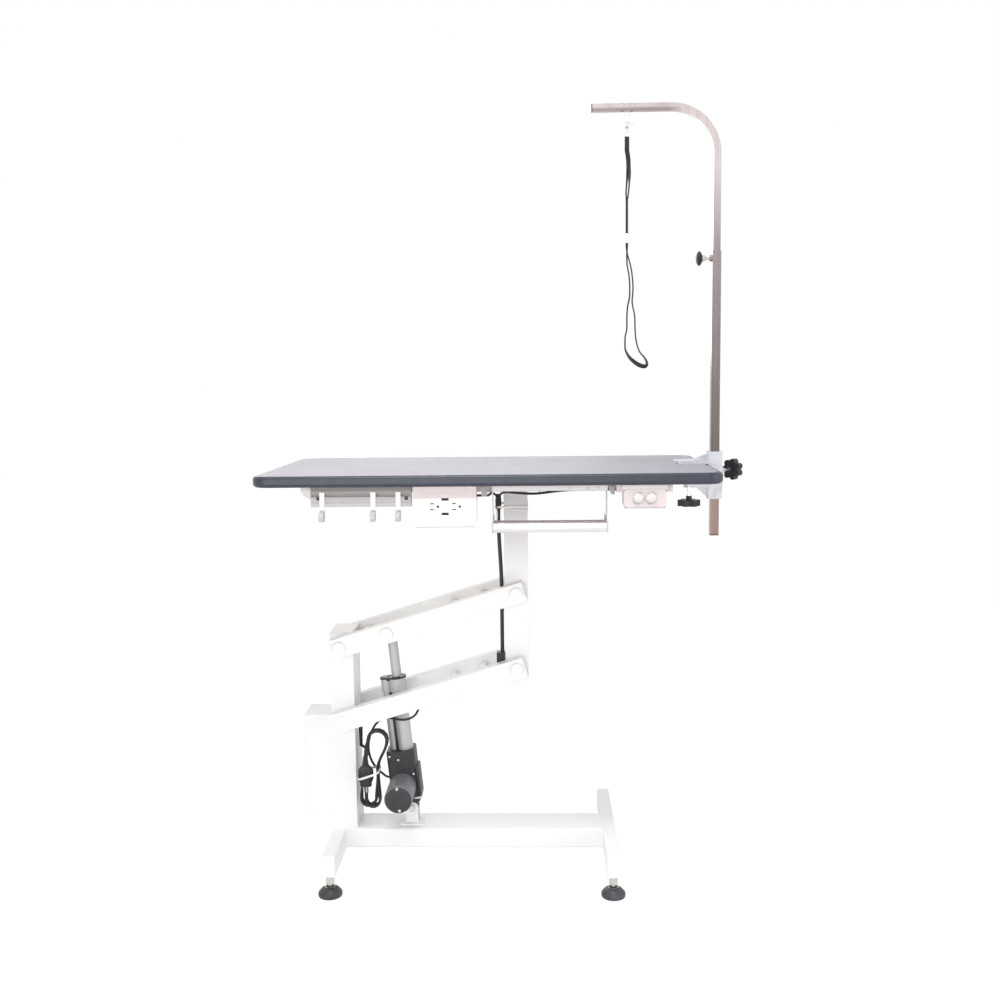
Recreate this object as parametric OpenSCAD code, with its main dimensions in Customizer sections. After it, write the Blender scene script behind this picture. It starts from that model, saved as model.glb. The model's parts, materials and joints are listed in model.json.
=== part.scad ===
// Electric grooming table: a parallelogram column lift driven by a linear actuator,
// a rubber-topped board with its outlets and hooks, and a clamped post with a noose.
// X runs along the table, Y away from the front, Z up from the floor.

/* [Tabletop] */
// Length of the tabletop
table_l = 1100; // [900:10:1300]
// Width of the tabletop
table_w = 600; // [520:10:700]
// Height of the top surface above the floor
table_h = 1058; // [1040:1:1100]
// Thickness of the wooden board
board_t = 24; // [18:1:30]
// Thickness of the rubber mat
mat_t = 3; // [2:0.5:5]
// Outer radius of the tabletop's corners
corner_r = 40; // [30:1:70]
// Width of the rubber edge strip
trim_w = 14; // [10:1:18]
// Rounding of the edge strip
trim_round = 9; // [5:0.5:9]

/* [Under frame] */
// Length of the frame under the board
frame_l = 860; // [700:10:880]
// Width of the frame under the board
frame_w = 340; // [320:5:360]
// Height of the frame's channels
frame_h = 25; // [20:1:28]
// Width of the frame's channels
rail_w = 40; // [30:1:44]
// Wall of the frame's channels
rail_wall = 2; // [1.5:0.25:4]
// Gap between the two channels over the column
centre_gap = 20; // [12:1:30]

/* [Base] */
// Clear height under the base frame
base_clear = 57; // [52:1:66]
// Height of the legs and of the crossbar
leg_h = 54; // [48:1:62]
// Width of a leg
leg_w = 32; // [28:1:40]
// Length of a leg without its end plugs
leg_l = 456; // [430:2:560]
// Distance from the table's middle to the left leg
left_leg_x = -405; // [-412:1:-402]
// Distance from the table's middle to the right leg
right_leg_x = 299; // [260:1:340]
// Width of the crossbar
bar_w = 110; // [100:1:120]
// Corner radius of the crossbar
bar_corner = 8; // [6:0.5:12]
// Wall of the base tubes
tube_wall = 3; // [2:0.25:4]
// Distance from the middle line to a foot
foot_y = 209; // [180:1:211]

/* [Columns] */
// Width of both columns along the table
col_l = 60; // [54:1:64]
// Depth of both columns
col_w = 110; // [104:1:114]
// Height of the fixed column's top without its cap
base_col_top = 631; // [628:1:640]
// Height of the moving column's lower end
table_col_bottom = 498; // [496:1:505]
// Side of the square plate on the moving column
head_side = 160; // [140:1:170]
// Thickness of the plate on the moving column
head_t = 8; // [6:1:12]

/* [Lift arms] */
// Distance between the two pivots of an arm
arm_l = 472.5; // [465:0.5:480]
// Angle of the arms above level
arm_rest = 16.95; // [16:0.05:18]
// Distance from the table's middle to the fixed column's pivots
pin_x = -388.5; // [-390:0.5:-387]
// Height of the lower fixed pivot
low_pin_z = 406.2; // [402:0.2:410]
// Height between the two fixed pivots
pin_gap = 194; // [190:0.5:200]
// Depth of an arm's tube
arm_h = 50; // [46:1:54]
// Thickness of an arm's tube
arm_t = 30; // [25:1:35]
// Wall of an arm's tube
arm_wall = 2.5; // [2:0.25:4]
// Space between a column and an arm
arm_gap = 5; // [4:0.5:7]
// Reach of an arm past its fixed pivot
arm_back = 19; // [16:1:27]
// Reach of an arm past its moving pivot
arm_front = 18; // [16:1:30]
// Radius of the pivot pins
pin_r = 8; // [7:0.5:9]
// Radius of the white caps on the pins
cap_r = 17; // [14:0.5:20]
// Radius of the tubes that tie the arms together
tie_r = 12.5; // [10:0.5:14]

/* [Actuator] */
// Distance from the table's middle to the actuator's lower pivot
act_x = -218; // [-220:0.5:-216]
// Height of the actuator's lower pivot
act_z = 153; // [150:0.5:156]
// Distance along the upper arm to the actuator's upper pivot
act_arm = 127; // [124:0.5:130]
// Radius of the actuator's main tube
body_r = 20; // [19:0.25:22]
// Radius of the actuator's side tube
side_r = 11; // [9:0.5:12]
// Radius of the push rod
rod_r = 13; // [12:0.25:13.5]
// Radius of the lead screw
screw_r = 8; // [6:0.25:8.25]
// Height of the collar's top along the actuator
collar_top = 354; // [350:1:360]
// Height of the gear housing's top along the actuator
housing_top = 158; // [152:1:164]
// Radius of the motor
motor_r = 36; // [32:0.5:37]
// Length of the motor in front of the gear housing
motor_l = 98; // [80:1:110]
// Radius of the lower pivot's bolt
bolt_r = 5; // [4:0.5:6]
// Radius of the upper pivot's pin
rod_pin_r = 6; // [5:0.5:7]
// Play that the rod's eye leaves round its pin
rod_play = 8.2; // [8:0.1:9]
// Way that the rod goes down into the tube
rod_travel = 98; // [96.5:0.5:100]

/* [Control box] */
// Length of the control box along the table
control_l = 70; // [60:1:80]
// Depth of the control box
control_w = 100; // [90:1:106]
// Height of the control box
control_h = 268; // [240:1:280]
// Height of the control box above the floor
control_z = 147; // [140:1:152]
// Wall of the control box
box_wall = 2; // [1.5:0.25:3]

/* [Feet] */
// Radius of a foot's pad
pad_r = 30; // [26:0.5:34]
// Height of a foot's bell
pad_h = 26; // [24:1:30]
// Radius of the nut between a foot's bell and its leg
lock_r = 11; // [10:0.5:13]
// Radius of a foot's threaded stud
stud_r = 5.5; // [5:0.5:6.5]
// Length of the stud above the pad's neck
stud_l = 40; // [34:1:42]

/* [Accessories] */
// Distance from the front edge to the accessories' faces
front_set = 10; // [10:1:16]
// Length of the hook rail
rail_l = 237; // [215:1:240]
// Distance from the table's middle to the hook rail's left end
rail_x = -413; // [-420:1:-410]
// Height of the hook rail
rail_h = 48; // [44:1:52]
// Length of the outlet box
outlet_l = 148; // [140:1:150]
// Height of the outlet box
outlet_h = 94; // [88:1:100]
// Distance from the table's middle to the outlet box's left side
outlet_x = -171; // [-174:1:-168]
// Depth of the outlet box and of the button box
shallow = 58; // [50:1:64]
// Length of the tool tray
tray_l = 268; // [240:1:272]
// Depth of the tool tray
tray_w = 108; // [90:1:110]
// Distance from the table's middle to the tray's left side
tray_x = 13; // [10:1:16]
// Height of the tray's lip
lip_h = 25; // [22:1:32]
// Distance from the tabletop's underside down to the tray's lip
tray_drop = 87; // [80:1:96]
// Length of the button box
button_box_l = 98; // [94:1:104]
// Distance from the tabletop's underside down to the button box's lower side
button_box_h = 53; // [50:1:58]
// Gap between the tabletop's underside and the button box
button_box_gap = 10; // [6:1:12]
// Distance from the table's middle to the button box's left side
button_box_x = 318; // [316:1:326]
// Radius of a push button
button_r = 12; // [10:0.5:13]
// Radius of the cable on the moving column
cable_r = 6; // [4:0.5:6.5]

/* [Grooming post] */
// Distance from the table's middle to the post
post_x = 571; // [570:1:576]
// Width of the square post
post_w = 22; // [20:0.5:24]
// Wall of the post
post_wall = 1.6; // [1.2:0.1:2]
// Height of the post's lower end
post_bottom = 875; // [850:1:900]
// Length of the post
post_l = 714; // [650:1:760]
// Sliding play round the post and round the bent arm
slide_play = 0.3; // [0.2:0.05:0.4]
// Height of the bent arm's top
arm_top = 1949.5; // [1900:0.5:2000]
// Bend radius of the bent arm's middle line
bend_r = 115; // [95:1:120]
// Distance from the table's middle to the bent arm's tip
arm_tip_x = 262; // [240:1:280]
// Length of the bent arm inside the post
arm_inside = 280; // [260:1:300]
// Wall of the bent arm
bent_wall = 1.4; // [1:0.1:2]
// Wall of the clamp's sleeve
sleeve_wall = 6.5; // [5:0.5:7]
// Height of the clamp's sleeve above the tabletop
sleeve_up = 30; // [26:1:36]
// Depth of the clamp's sleeve below the tabletop's underside
sleeve_down = 64; // [58:1:70]
// Width of the clamp's jaws
jaw_w = 70; // [60:1:76]
// Reach of the upper jaw over the tabletop
jaw_l = 86; // [76:1:96]
// Thickness of the upper jaw
jaw_t = 8; // [6:0.5:10]
// Distance from the post to the clamp's screw
screw_back = 64; // [58:1:68]
// Outer radius of the clamp screw's knob
clamp_knob_r = 29; // [26:0.5:30]
// Outer radius of the star knob
star_r = 28; // [24:0.5:30]
// Thickness of the star knob
star_t = 17; // [14:0.5:20]
// Distance from the post to the star knob's middle
star_out = 79; // [76:1:86]
// Height of the thumb knob below the post's top
thumb_down = 18; // [16:1:26]
// Radius of the thumb knob
thumb_r = 18.5; // [16:0.5:22]

/* [Noose] */
// Distance from the table's middle to the noose
noose_x = 348; // [345:1:352]
// Width of the webbing
strap_w = 11; // [9:0.5:12]
// Thickness of one layer of webbing
strap_t = 2; // [1.5:0.1:2.2]

/* [Mains cord] */
// Radius of the mains cord
cord_r = 3.5; // [3:0.1:3.6]
// Loops in the hank of the mains cord
hank_loops = 4; // [3:1:4]

/* [Hidden] */
$fn = 64;

white_paint = "#f3f1ef";
slate_rubber = "#46505f";
mat_grey = "#77737f";
black_plastic = "#1d1d20";
dark_plastic = "#3a3b3f";
bright_steel = "#b9b7b4";
cast_silver = "#c3c4cc";
anodised = "#a9a7a4";

eps = 0.01;
// Running play of a pin in a turning bore, and the seat of a fixed pin
run_play = 0.05;
seat_play = 0.02;

// Heights and widths that follow from the driving dimensions
top_t = board_t + mat_t;
under_z = table_h - top_t;
frame_z = under_z - frame_h;
bar_top = base_clear + leg_h;
board_r = corner_r - trim_w;
front_y = -table_w / 2 + front_set;

// The parallelogram: both arms are equal, and the moving column hangs on them
arm_run = arm_l * cos(arm_rest);
arm_rise = arm_l * sin(arm_rest);
high_pin_z = low_pin_z + pin_gap;
table_col_x = pin_x + arm_run;
arm_y = col_w / 2 + arm_gap;
arm_out = arm_y + arm_t;
cap_t = 7;
plug_t = 3;
plug_in = 12;
plug_play = 0.2;
upper_ties = [60, arm_l - 172.5, arm_l - 92.5];
lower_ties = [arm_l - 172.5, arm_l - 92.5];

// The actuator stands on its lower pivot and points at its pin on the upper arms
rod_pin_x = pin_x + act_arm * cos(arm_rest);
rod_pin_z = high_pin_z + act_arm * sin(arm_rest);
act_tilt = atan2(act_x - rod_pin_x, rod_pin_z - act_z);
act_l = norm([act_x - rod_pin_x, rod_pin_z - act_z]);
lug_r = 16;
lug_t = 30;
ear_t = 6;
ear_gap = 1;
housing_w = 68;
housing_left = 49;
housing_right = 25;
motor_u = -16;
motor_v = 66;
wheel_r = 10.5;
worm_r = 5;
bore_play = 1.5;
tube_in_r = body_r - 2.5;
side_u = -(body_r + side_r - 1);
rod_eye_r = rod_pin_r + rod_play + 4;
nut_r = tube_in_r - 0.4;
tube_low = housing_top - 28;
flange_t = 9;
rod_low = tube_low + rod_travel + 4;
screw_top = collar_top - 60;
rod_bore_top = screw_top + rod_travel + 4;

// The post stands in the clamp's sleeve beside the right edge
sleeve_w = post_w + 2 * slide_play + 2 * sleeve_wall;
sleeve_low = under_z - sleeve_down;
post_top = post_bottom + post_l;
inner_w = post_w - 2 * post_wall - 2 * slide_play;
star_z = under_z + 6;
thumb_z = post_top - thumb_down;
arm_mid_z = arm_top - inner_w / 2;
clamp_screw_x = post_x - screw_back;

// The origin is midway between the tabletop's left edge and the star knob's right edge
reach_x = post_x + (star_out + star_r + star_t / 2) / sqrt(2);
mid_x = (table_l / 2 - reach_x) / 2;

// The noose hangs on a bail under the bent arm
bail_z = arm_top - inner_w;
bail_drop = 18;
wire_r = 1.8;
bail_half = 12;
bail_low = bail_z - bail_drop;
snap_ring_r = 6;
snap_ring_z = bail_low + 2 * wire_r + 0.2 - snap_ring_r;
barrel_top = snap_ring_z - snap_ring_r + 1;
barrel_low = barrel_top - 17;
bar_z = barrel_low - 22;
strap_skew = 74;
slider_z = 1612;
slider_h = 22;
// The loop's points: distance right of the noose, height above the floor, distance back
loop_points = [[0, 1590, 1.2], [0, 1574, 0], [0.5, 1557, -2.5], [4, 1538, -4], [6, 1520, -5],
    [7, 1498, -5], [6, 1476, -5], [1.5, 1453, -4], [0, 1425, -2], [0, 1398, 0], [-4, 1379, 0],
    [-4, 1350, 0], [2, 1335, 0], [11, 1323, 0], [26, 1311, 0], [40, 1305, 1], [49, 1306, 2],
    [51, 1315, 3], [44, 1328, 4], [33, 1341, 4], [26, 1360, 4], [22.5, 1379, 4], [21, 1405, 4],
    [20, 1433, 5], [14, 1465, 6], [16, 1495, 6], [15, 1520, 6], [12, 1545, 5], [7, 1566, 3],
    [2, 1582, 0.5], [0.5, 1592, -1]];

// The cable's route: its sheath down the column, and the two leads that meet in its boot
clamp_top = table_col_bottom + 82;
boot_z = 948;
boot_h = 40;
cable_x = table_col_x - col_l / 2 - cable_r - 1.5;
cable_y = -45;
cable_points = [[cable_x - 6, cable_y - 4, boot_z + 4], [cable_x - 6, cable_y - 4, boot_z - 14],
    [cable_x - 6, cable_y - 2, 905], [cable_x - 5, cable_y, 870], [cable_x - 3, cable_y, 830],
    [cable_x - 1, cable_y, 790], [cable_x, cable_y, 745], [cable_x, cable_y, 690],
    [cable_x, cable_y, 640], [cable_x, cable_y, 600], [cable_x, cable_y, clamp_top + 0.3]];
lead_r = 3;
button_lead = [[367, front_y + shallow + 0.3, 1006], [367, front_y + shallow + 8, 1006],
    [362, -210, 1008], [345, -194, 1010], [310, -185, 1011], [262, -181, 1011], [205, -180, 1010],
    [165, -179, 1007], [135, -177, 1003], [110, -171, 1000.5], [85, -158, 1000], [65, -139, 999.5],
    [49, -115, 998.5], [37, -92, 996], [28, -72, 991], [cable_x - 2, -56, 984],
    [cable_x - 2, -53, boot_z + boot_h - 3]];
outlet_lead = [[outlet_x + outlet_l - 1.2, -236, 1004], [outlet_x + outlet_l + 6, -236, 1004],
    [-8, -226, 1003], [1, -204, 1001], [4, -172, 1000], [5, -138, 999], [7, -104, 997],
    [9, -76, 992], [cable_x - 10, -56, 984], [cable_x - 10, -53, boot_z + boot_h - 3]];

// The motor's lead: out of the tube behind an arm, across it, and down to the motor
lead_points = [[-227.2, -3, 452], [-219, -4, 452], [-208, -8, 449], [-199, -16, 439],
    [-196, -26, 424], [-203, -34, 410], [-217, -37, 401], [-234, -37, 397.5], [-252, -35, 398.5],
    [-268, -30, 400], [-284, -21, 398], [-298, -13, 390], [-311, -12, 377], [-321, -12, 360],
    [-328, -12, 340], [-331, -12, 318], [-329, -12, 296], [-322, -12, 276], [-312, -12, 261],
    [-301, -12, 249], [-291, -12, 240.5], [-284, -13.5, 236.5], [-277.3, -14, 235]];

// The mains cord's hank: upright loops with their waist drawn in, one beside the next
hank_x = -320;
hank_z = 268;
hank_y = -24;
hank_up = 78;
hank_down = 82;
hank_top_r = 23;
hank_low_r = 19;
hank_waist = 17;
hank_pitch = 2 * cord_r + 0.6;
hank_rings = 24;
gland_z = 408;
gland_x = pin_x + col_l / 2 + 10;
plug_x = -331;
plug_y = -71;
plug_z = 232;
plug_h = 54;
plug_w = 40;
relief_h = 28;

function unit(v) = v / norm(v);

function heading(p, i) =
    i == 0 ? unit(p[1] - p[0])
    : i == len(p) - 1 ? unit(p[i] - p[i - 1])
    : unit(unit(p[i + 1] - p[i]) + unit(p[i] - p[i - 1]));

function across(n, t) = unit(n - (n * t) * t);

// One side direction for each point of a route, carried along without twist
function carried(p, start) =
    [for (i = 0, n = across(start, heading(p, 0)); i < len(p); i = i + 1,
        n = i < len(p) ? across(n, heading(p, i)) : n) n];

// Triangles of a tube of m rings of s points, with flat ends
function tube_faces(m, s) = concat(
    [for (i = [1 : s - 2]) [0, i, i + 1]],
    [for (r = [0 : m - 2], k = [0 : s - 1]) [r * s + k, (r + 1) * s + k, (r + 1) * s + (k + 1) % s]],
    [for (r = [0 : m - 2], k = [0 : s - 1]) [r * s + k, (r + 1) * s + (k + 1) % s, r * s + (k + 1) % s]],
    [for (i = [1 : s - 2]) [(m - 1) * s, (m - 1) * s + i + 1, (m - 1) * s + i]]);

function ring(p, n, b, section) = [for (q = section) p + q[0] * n + q[1] * b];

// A section carried along a route, n being its side direction at each point
module swept(p, section, n) {
    points = [for (i = [0 : len(p) - 1]) each ring(p[i], n[i], cross(heading(p, i), n[i]), section)];
    polyhedron(points, tube_faces(len(p), len(section)));
}

module round_cord(p, r, sides, start) {
    swept(p, [for (k = [0 : sides - 1]) r * [cos(360 * k / sides), sin(360 * k / sides)]], carried(p, start));
}

// A step from 0 to 1 with level ends
function smooth(v) = (1 - cos(180 * min(1, max(0, v)))) / 2;

// How far the hank's loops fan out after t turns, from 0 to 1
function fan(t) = (1 + sin(180 * t + 40)) / 2;

// Half width and middle of the hank's loop, v being 1 at the upper arc and -1 at the lower
function end_r(v, t) = v > 0 ? hank_top_r + 4 * fan(t) : hank_low_r;
function loop_half(v, t) = hank_waist + (end_r(v, t) - hank_waist) * smooth(abs(v));
function loop_mid(v, t) = (v > 0 ? 15 + 5 * fan(t) : -10 + 14 * fan(t + 1)) * smooth(abs(v));
function loop_z(v) = v * (v > 0 ? hank_up : hank_down);

// An end arc's point, a being the angle gone round
function end_arc(v, t, side, a) =
    [loop_mid(v, t) + side * end_r(v, t) * cos(a), loop_z(v) + v * end_r(v, t) * sin(a)];

// A point of the hank after t turns: down the left run, round, up the right run, round
function hank_point(t) =
    let (u = t - floor(t), v = u < 0.5 ? 1 - u / 0.175 : (u - 0.5) / 0.175 - 1,
        q = u < 0.35 ? [loop_mid(v, t) - loop_half(v, t), loop_z(v)]
            : u < 0.5 ? end_arc(-1, t, -1, 180 * (u - 0.35) / 0.15)
            : u < 0.85 ? [loop_mid(v, t) + loop_half(v, t), loop_z(v)]
            : end_arc(1, t, 1, 180 * (u - 0.85) / 0.15))
    [hank_x + q[0], hank_y - hank_pitch * t, hank_z + q[1]];

hank_route = [for (i = [3 : hank_loops * hank_rings]) hank_point(i / hank_rings)];

// The least space between two turns of the hank, measured on its route's points
hank_gap = min([for (i = [0 : len(hank_route) - 1], j = [i + hank_rings / 2 : 1 : len(hank_route) - 1])
    norm(hank_route[i] - hank_route[j])]) - 2 * cord_r;
echo(hank_gap = hank_gap);

// The webbing's route: a tail over the eye's bar, two layers down to the joint, round
// the loop, and back up between them
bar_out = wire_r + 0.4 + strap_t / 2;
layer = strap_t / 2 + 0.25;
function skew(z) = strap_skew * smooth((bar_z - 30 - z) / 90);
function parting(z) = layer + 2 * smooth((1800 - z) / 25) * smooth((z - 1715) / 25);
function sway(z) = 4 * smooth((1850 - z) / 50) * smooth((z - 1715) / 70);
function layer_point(z, side) =
    [sway(z) - side * parting(z) * sin(skew(z)), side * parting(z) * cos(skew(z)), z];
layer_z = [bar_z - 42, 1815, 1798, 1780, 1757, 1735, 1718, 1700, 1680, 1660, 1640, 1620, 1604];
layers = len(layer_z);
loop_n = len(loop_points);
strap_wrap = concat(
    [for (z = [26, 18, 9, 0]) [0, -bar_out, bar_z - z]],
    [for (a = [150, 120, 90, 60, 30]) [0, bar_out * cos(a), bar_z + bar_out * sin(a)]],
    [for (z = [0, 9, 18, 28]) [0, bar_out, bar_z - z]]);
strap_path = concat(strap_wrap, [for (z = layer_z) layer_point(z, 1)],
    [for (q = loop_points) [q[0], q[2], q[1]]],
    [for (i = [layers - 1 : -1 : 0]) layer_point(layer_z[i], -1)],
    [for (z = [28, 18, 9]) [0, 0, bar_z - z]]);

// The webbing's turn about its route: skewed in the layers, reversed on the loop's way up
function strap_turn(i) =
    let (k = i - len(strap_wrap) - layers)
    k < 0 ? skew(strap_path[i][2])
    : k < loop_n ? strap_skew * (1 - 2 * smooth((k - 10) / 9))
    : -skew(strap_path[i][2]);
strap_side = [for (i = [0 : len(strap_path) - 1]) let (t = heading(strap_path, i), w = strap_turn(i))
    i < len(strap_wrap) ? [1, 0, 0] : across(cos(w) * [-t[2], 0, t[0]] + [0, sin(w), 0], t)];
strap_band = let (w = strap_w / 2, t = strap_t / 2) [[-w, -t], [w, -t], [w, t], [-w, t]];

module placed() {
    translate([mid_x, 0, 0]) children();
}

module block(low, high) {
    translate(low) cube(high - low);
}

// A round bar or hole along Y through a point of the X and Z plane
module bar_y(x, z, r, y0, y1) {
    translate([x, y1, z]) rotate([90, 0, 0]) cylinder(h = y1 - y0, r = r);
}

module rounded_rect(l, w, r) {
    translate([r, 0]) square([l - 2 * r, w]);
    translate([0, r]) square([l, w - 2 * r]);
    for (x = [r, l - r], y = [r, w - r]) translate([x, y]) circle(r);
}

// A box whose outline in the X and Z plane has rounded corners
module upright_box(x0, x1, y0, y1, z0, z1, r) {
    translate([x0, y1, z0]) rotate([90, 0, 0]) linear_extrude(y1 - y0) rounded_rect(x1 - x0, z1 - z0, r);
}

module on_both_sides() {
    children();
    mirror([0, 1, 0]) children();
}

// Base frame

// The crossbar's outline, or its inside where inset is the wall, extruded along the table
module bar_form(x0, x1, inset) {
    translate([x0, -bar_w / 2 + inset, base_clear + inset]) rotate([90, 0, 90]) linear_extrude(x1 - x0)
        rounded_rect(bar_w - 2 * inset, leg_h - 2 * inset, bar_corner - inset);
}

module crossbar() {
    color(white_paint) placed() difference() {
        bar_form(left_leg_x + leg_w / 2, right_leg_x - leg_w / 2, 0);
        bar_form(left_leg_x, right_leg_x, tube_wall);
    }
}

boss_r = stud_r + 4;

module leg(x) {
    boss_h = 24;
    color(white_paint) placed() translate([x, 0, base_clear]) difference() {
        union() {
            difference() {
                block([-leg_w / 2, -leg_l / 2, 0], [leg_w / 2, leg_l / 2, leg_h]);
                block([-leg_w / 2 + tube_wall, -leg_l, tube_wall],
                    [leg_w / 2 - tube_wall, leg_l, leg_h - tube_wall]);
            }
            for (y = [-foot_y, foot_y]) translate([0, y, tube_wall / 2]) cylinder(h = boss_h, r = boss_r);
        }
        for (y = [-foot_y, foot_y]) translate([0, y, -1]) cylinder(h = boss_h + 4, r = stud_r + run_play);
    }
}

// A plug with a plate over a tube's end, along +Z from the end's middle
module tube_plug(l, w, wall, skirt) {
    translate([-l / 2, -w / 2, 0]) cube([l, w, plug_t]);
    inner_l = l - 2 * wall - 2 * plug_play;
    inner_w2 = w - 2 * wall - 2 * plug_play;
    translate([-inner_l / 2, -inner_w2 / 2, -skirt]) cube([inner_l, inner_w2, skirt + eps]);
}

module tube_caps() {
    color(white_paint) placed() {
        for (x = [left_leg_x, right_leg_x], s = [0, 1]) mirror([0, s, 0])
            translate([x, leg_l / 2, base_clear + leg_h / 2]) rotate([-90, 0, 0])
                tube_plug(leg_w, leg_h, tube_wall, max(1, min(plug_in, leg_l / 2 - foot_y - boss_r - 1)));
        translate([pin_x, 0, base_col_top]) tube_plug(col_l, col_w, tube_wall, plug_in);
    }
}

// The fixed column, coped over the crossbar's corners and standing on the left leg
module base_column() {
    low = bar_top - bar_corner;
    color(white_paint) placed() difference() {
        block([pin_x - col_l / 2, -col_w / 2, low], [pin_x + col_l / 2, col_w / 2, base_col_top]);
        bar_form(left_leg_x, right_leg_x, 0);
        block([left_leg_x - leg_w / 2, -leg_l / 2, low - 1], [left_leg_x + leg_w / 2, leg_l / 2, bar_top]);
        block([pin_x - col_l / 2 + tube_wall, -col_w / 2 + tube_wall, low - 1],
            [pin_x + col_l / 2 - tube_wall, col_w / 2 - tube_wall, base_col_top + 1]);
        for (z = [low_pin_z, high_pin_z]) bar_y(pin_x, z, pin_r + run_play, -col_w, col_w);
    }
}

module actuator_bracket() {
    plate_t = 4;
    ear_y = lug_t / 2 + ear_gap;
    color(white_paint) placed() difference() {
        union() {
            block([act_x - 32, -ear_y - 20, bar_top], [act_x + 32, ear_y + 20, bar_top + plate_t]);
            for (y = [-ear_y - ear_t, ear_y]) {
                block([act_x - lug_r, y, bar_top], [act_x + lug_r, y + ear_t, act_z]);
                bar_y(act_x, act_z, lug_r, y, y + ear_t);
            }
        }
        bar_y(act_x, act_z, bolt_r + seat_play, -60, 60);
    }
}

module bracket_bolt() {
    ear_out = lug_t / 2 + ear_gap + ear_t;
    head_t = 7;
    color(bright_steel) placed() {
        bar_y(act_x, act_z, bolt_r, -ear_out - 2, ear_out + 2);
        translate([act_x, -ear_out, act_z]) rotate([90, 0, 0]) cylinder(h = head_t, r = 9, $fn = 6);
        translate([act_x, ear_out, act_z]) rotate([-90, 0, 0]) cylinder(h = head_t, r = 9, $fn = 6);
    }
}

module control_box() {
    right = pin_x - col_l / 2;
    left = right - control_l;
    color(white_paint) placed() difference() {
        block([left, -control_w / 2, control_z], [right, control_w / 2, control_z + control_h]);
        block([left - 1, -control_w / 2 + box_wall, control_z + box_wall],
            [right - box_wall, control_w / 2 - box_wall, control_z + control_h - box_wall]);
    }
}

module control_cover() {
    left = pin_x - col_l / 2 - control_l;
    seat = box_wall + plug_play;
    color(white_paint) placed() {
        translate([left, -control_w / 2, control_z]) rotate([0, -90, 0])
            linear_extrude(box_wall) rounded_rect(control_h, control_w, 4);
        difference() {
            block([left - eps, -control_w / 2 + seat, control_z + seat],
                [left + 8, control_w / 2 - seat, control_z + control_h - seat]);
            block([left - 1, -control_w / 2 + seat + 2, control_z + seat + 2],
                [left + 9, control_w / 2 - seat - 2, control_z + control_h - seat - 2]);
        }
    }
}

module cord_gland() {
    nose_h = 26;
    face = pin_x + col_l / 2;
    color(black_plastic) placed() {
        block([face, hank_y - 10, gland_z], [gland_x + 10, hank_y + 10, gland_z + 24]);
        translate([gland_x, hank_y, gland_z - nose_h])
            cylinder(h = nose_h + eps, r1 = cord_r + 1.5, r2 = 9);
    }
}

// A levelling foot: a bell-shaped pad, with its stud and its nut below the leg
module foot(x, y) {
    lock_low = pad_h + 7;
    color(black_plastic) placed() translate([x, y, 0]) rotate_extrude() {
        polygon([[0, 0], [pad_r - 4, 0], [pad_r - 1, 1.5], [pad_r, 4], [pad_r, 9], [pad_r - 1, 12],
            [pad_r - 7.5, pad_h - 6.5], [lock_r + 2, pad_h], [lock_r, pad_h], [lock_r - 2, pad_h - 3],
            [0, pad_h - 3]]);
        square([stud_r, base_clear + stud_l]);
        translate([0, lock_low]) square([lock_r, base_clear - lock_low - 0.3]);
    }
}

module foot_front_left() {
    foot(left_leg_x, -foot_y);
}

module foot_front_right() {
    foot(right_leg_x, -foot_y);
}

module foot_rear_left() {
    foot(left_leg_x, foot_y);
}

module foot_rear_right() {
    foot(right_leg_x, foot_y);
}

// Lift arms, drawn level and turned about their fixed pivot

module arm_place(z) {
    placed() translate([pin_x, 0, z]) rotate([0, -arm_rest, 0]) children();
}

// One arm tube in front of the columns, with its pivot holes and any pin hole
module near_arm(rod_hole) {
    difference() {
        block([-arm_back, -arm_out, -arm_h / 2], [arm_l + arm_front, -arm_y, arm_h / 2]);
        block([-arm_back - 1, -arm_out + arm_wall, -arm_h / 2 + arm_wall],
            [arm_l + arm_front + 1, -arm_y - arm_wall, arm_h / 2 - arm_wall]);
        for (x = [0, arm_l]) bar_y(x, 0, pin_r + seat_play, -arm_out - 1, -arm_y + 1);
        if (rod_hole) bar_y(act_arm, 0, rod_pin_r + seat_play, -arm_out - 1, -arm_y + 1);
    }
}

// Cross tubes between a pair of arms, and the plugs in the arms' ends
module arm_fittings(ties) {
    for (x = ties) difference() {
        bar_y(x, 0, tie_r, -arm_y, arm_y);
        bar_y(x, 0, tie_r - arm_wall, -arm_y - 1, arm_y + 1);
    }
    on_both_sides() for (e = [[-arm_back, -90, min(plug_in, arm_back - pin_r - 4)],
            [arm_l + arm_front, 90, min(plug_in, arm_front - pin_r - 4)]])
        translate([e[0], -arm_y - arm_t / 2, 0]) rotate([0, e[1], 0])
            tube_plug(arm_h, arm_t, arm_wall, e[2]);
}

// A pivot pin through both arms, with its spacers and its domed caps
module pivot_pin(x, r, spaced) {
    bar_y(x, 0, r, -arm_out - 2, arm_out + 2);
    on_both_sides() {
        translate([x, -arm_out, 0]) rotate([90, 0, 0]) rotate_extrude()
            polygon([[0, 0], [cap_r, 0], [cap_r, cap_t - 3], [cap_r - 1.5, cap_t - 1], [cap_r - 5, cap_t],
                [0, cap_t]]);
        if (spaced) difference() {
            bar_y(x, 0, cap_r - 2, -arm_y, -col_w / 2 - 0.1);
            bar_y(x, 0, r - eps, -arm_y - 1, 0);
        }
    }
}

module near_lower_arm() {
    color(white_paint) arm_place(low_pin_z) near_arm(false);
}

module far_lower_arm() {
    color(white_paint) arm_place(low_pin_z) mirror([0, 1, 0]) near_arm(false);
}

module lower_arm_fittings() {
    color(white_paint) arm_place(low_pin_z) arm_fittings(lower_ties);
}

module lower_pins() {
    color(white_paint) arm_place(low_pin_z) for (x = [0, arm_l]) pivot_pin(x, pin_r, true);
}

module near_upper_arm() {
    color(white_paint) arm_place(high_pin_z) near_arm(true);
}

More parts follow.
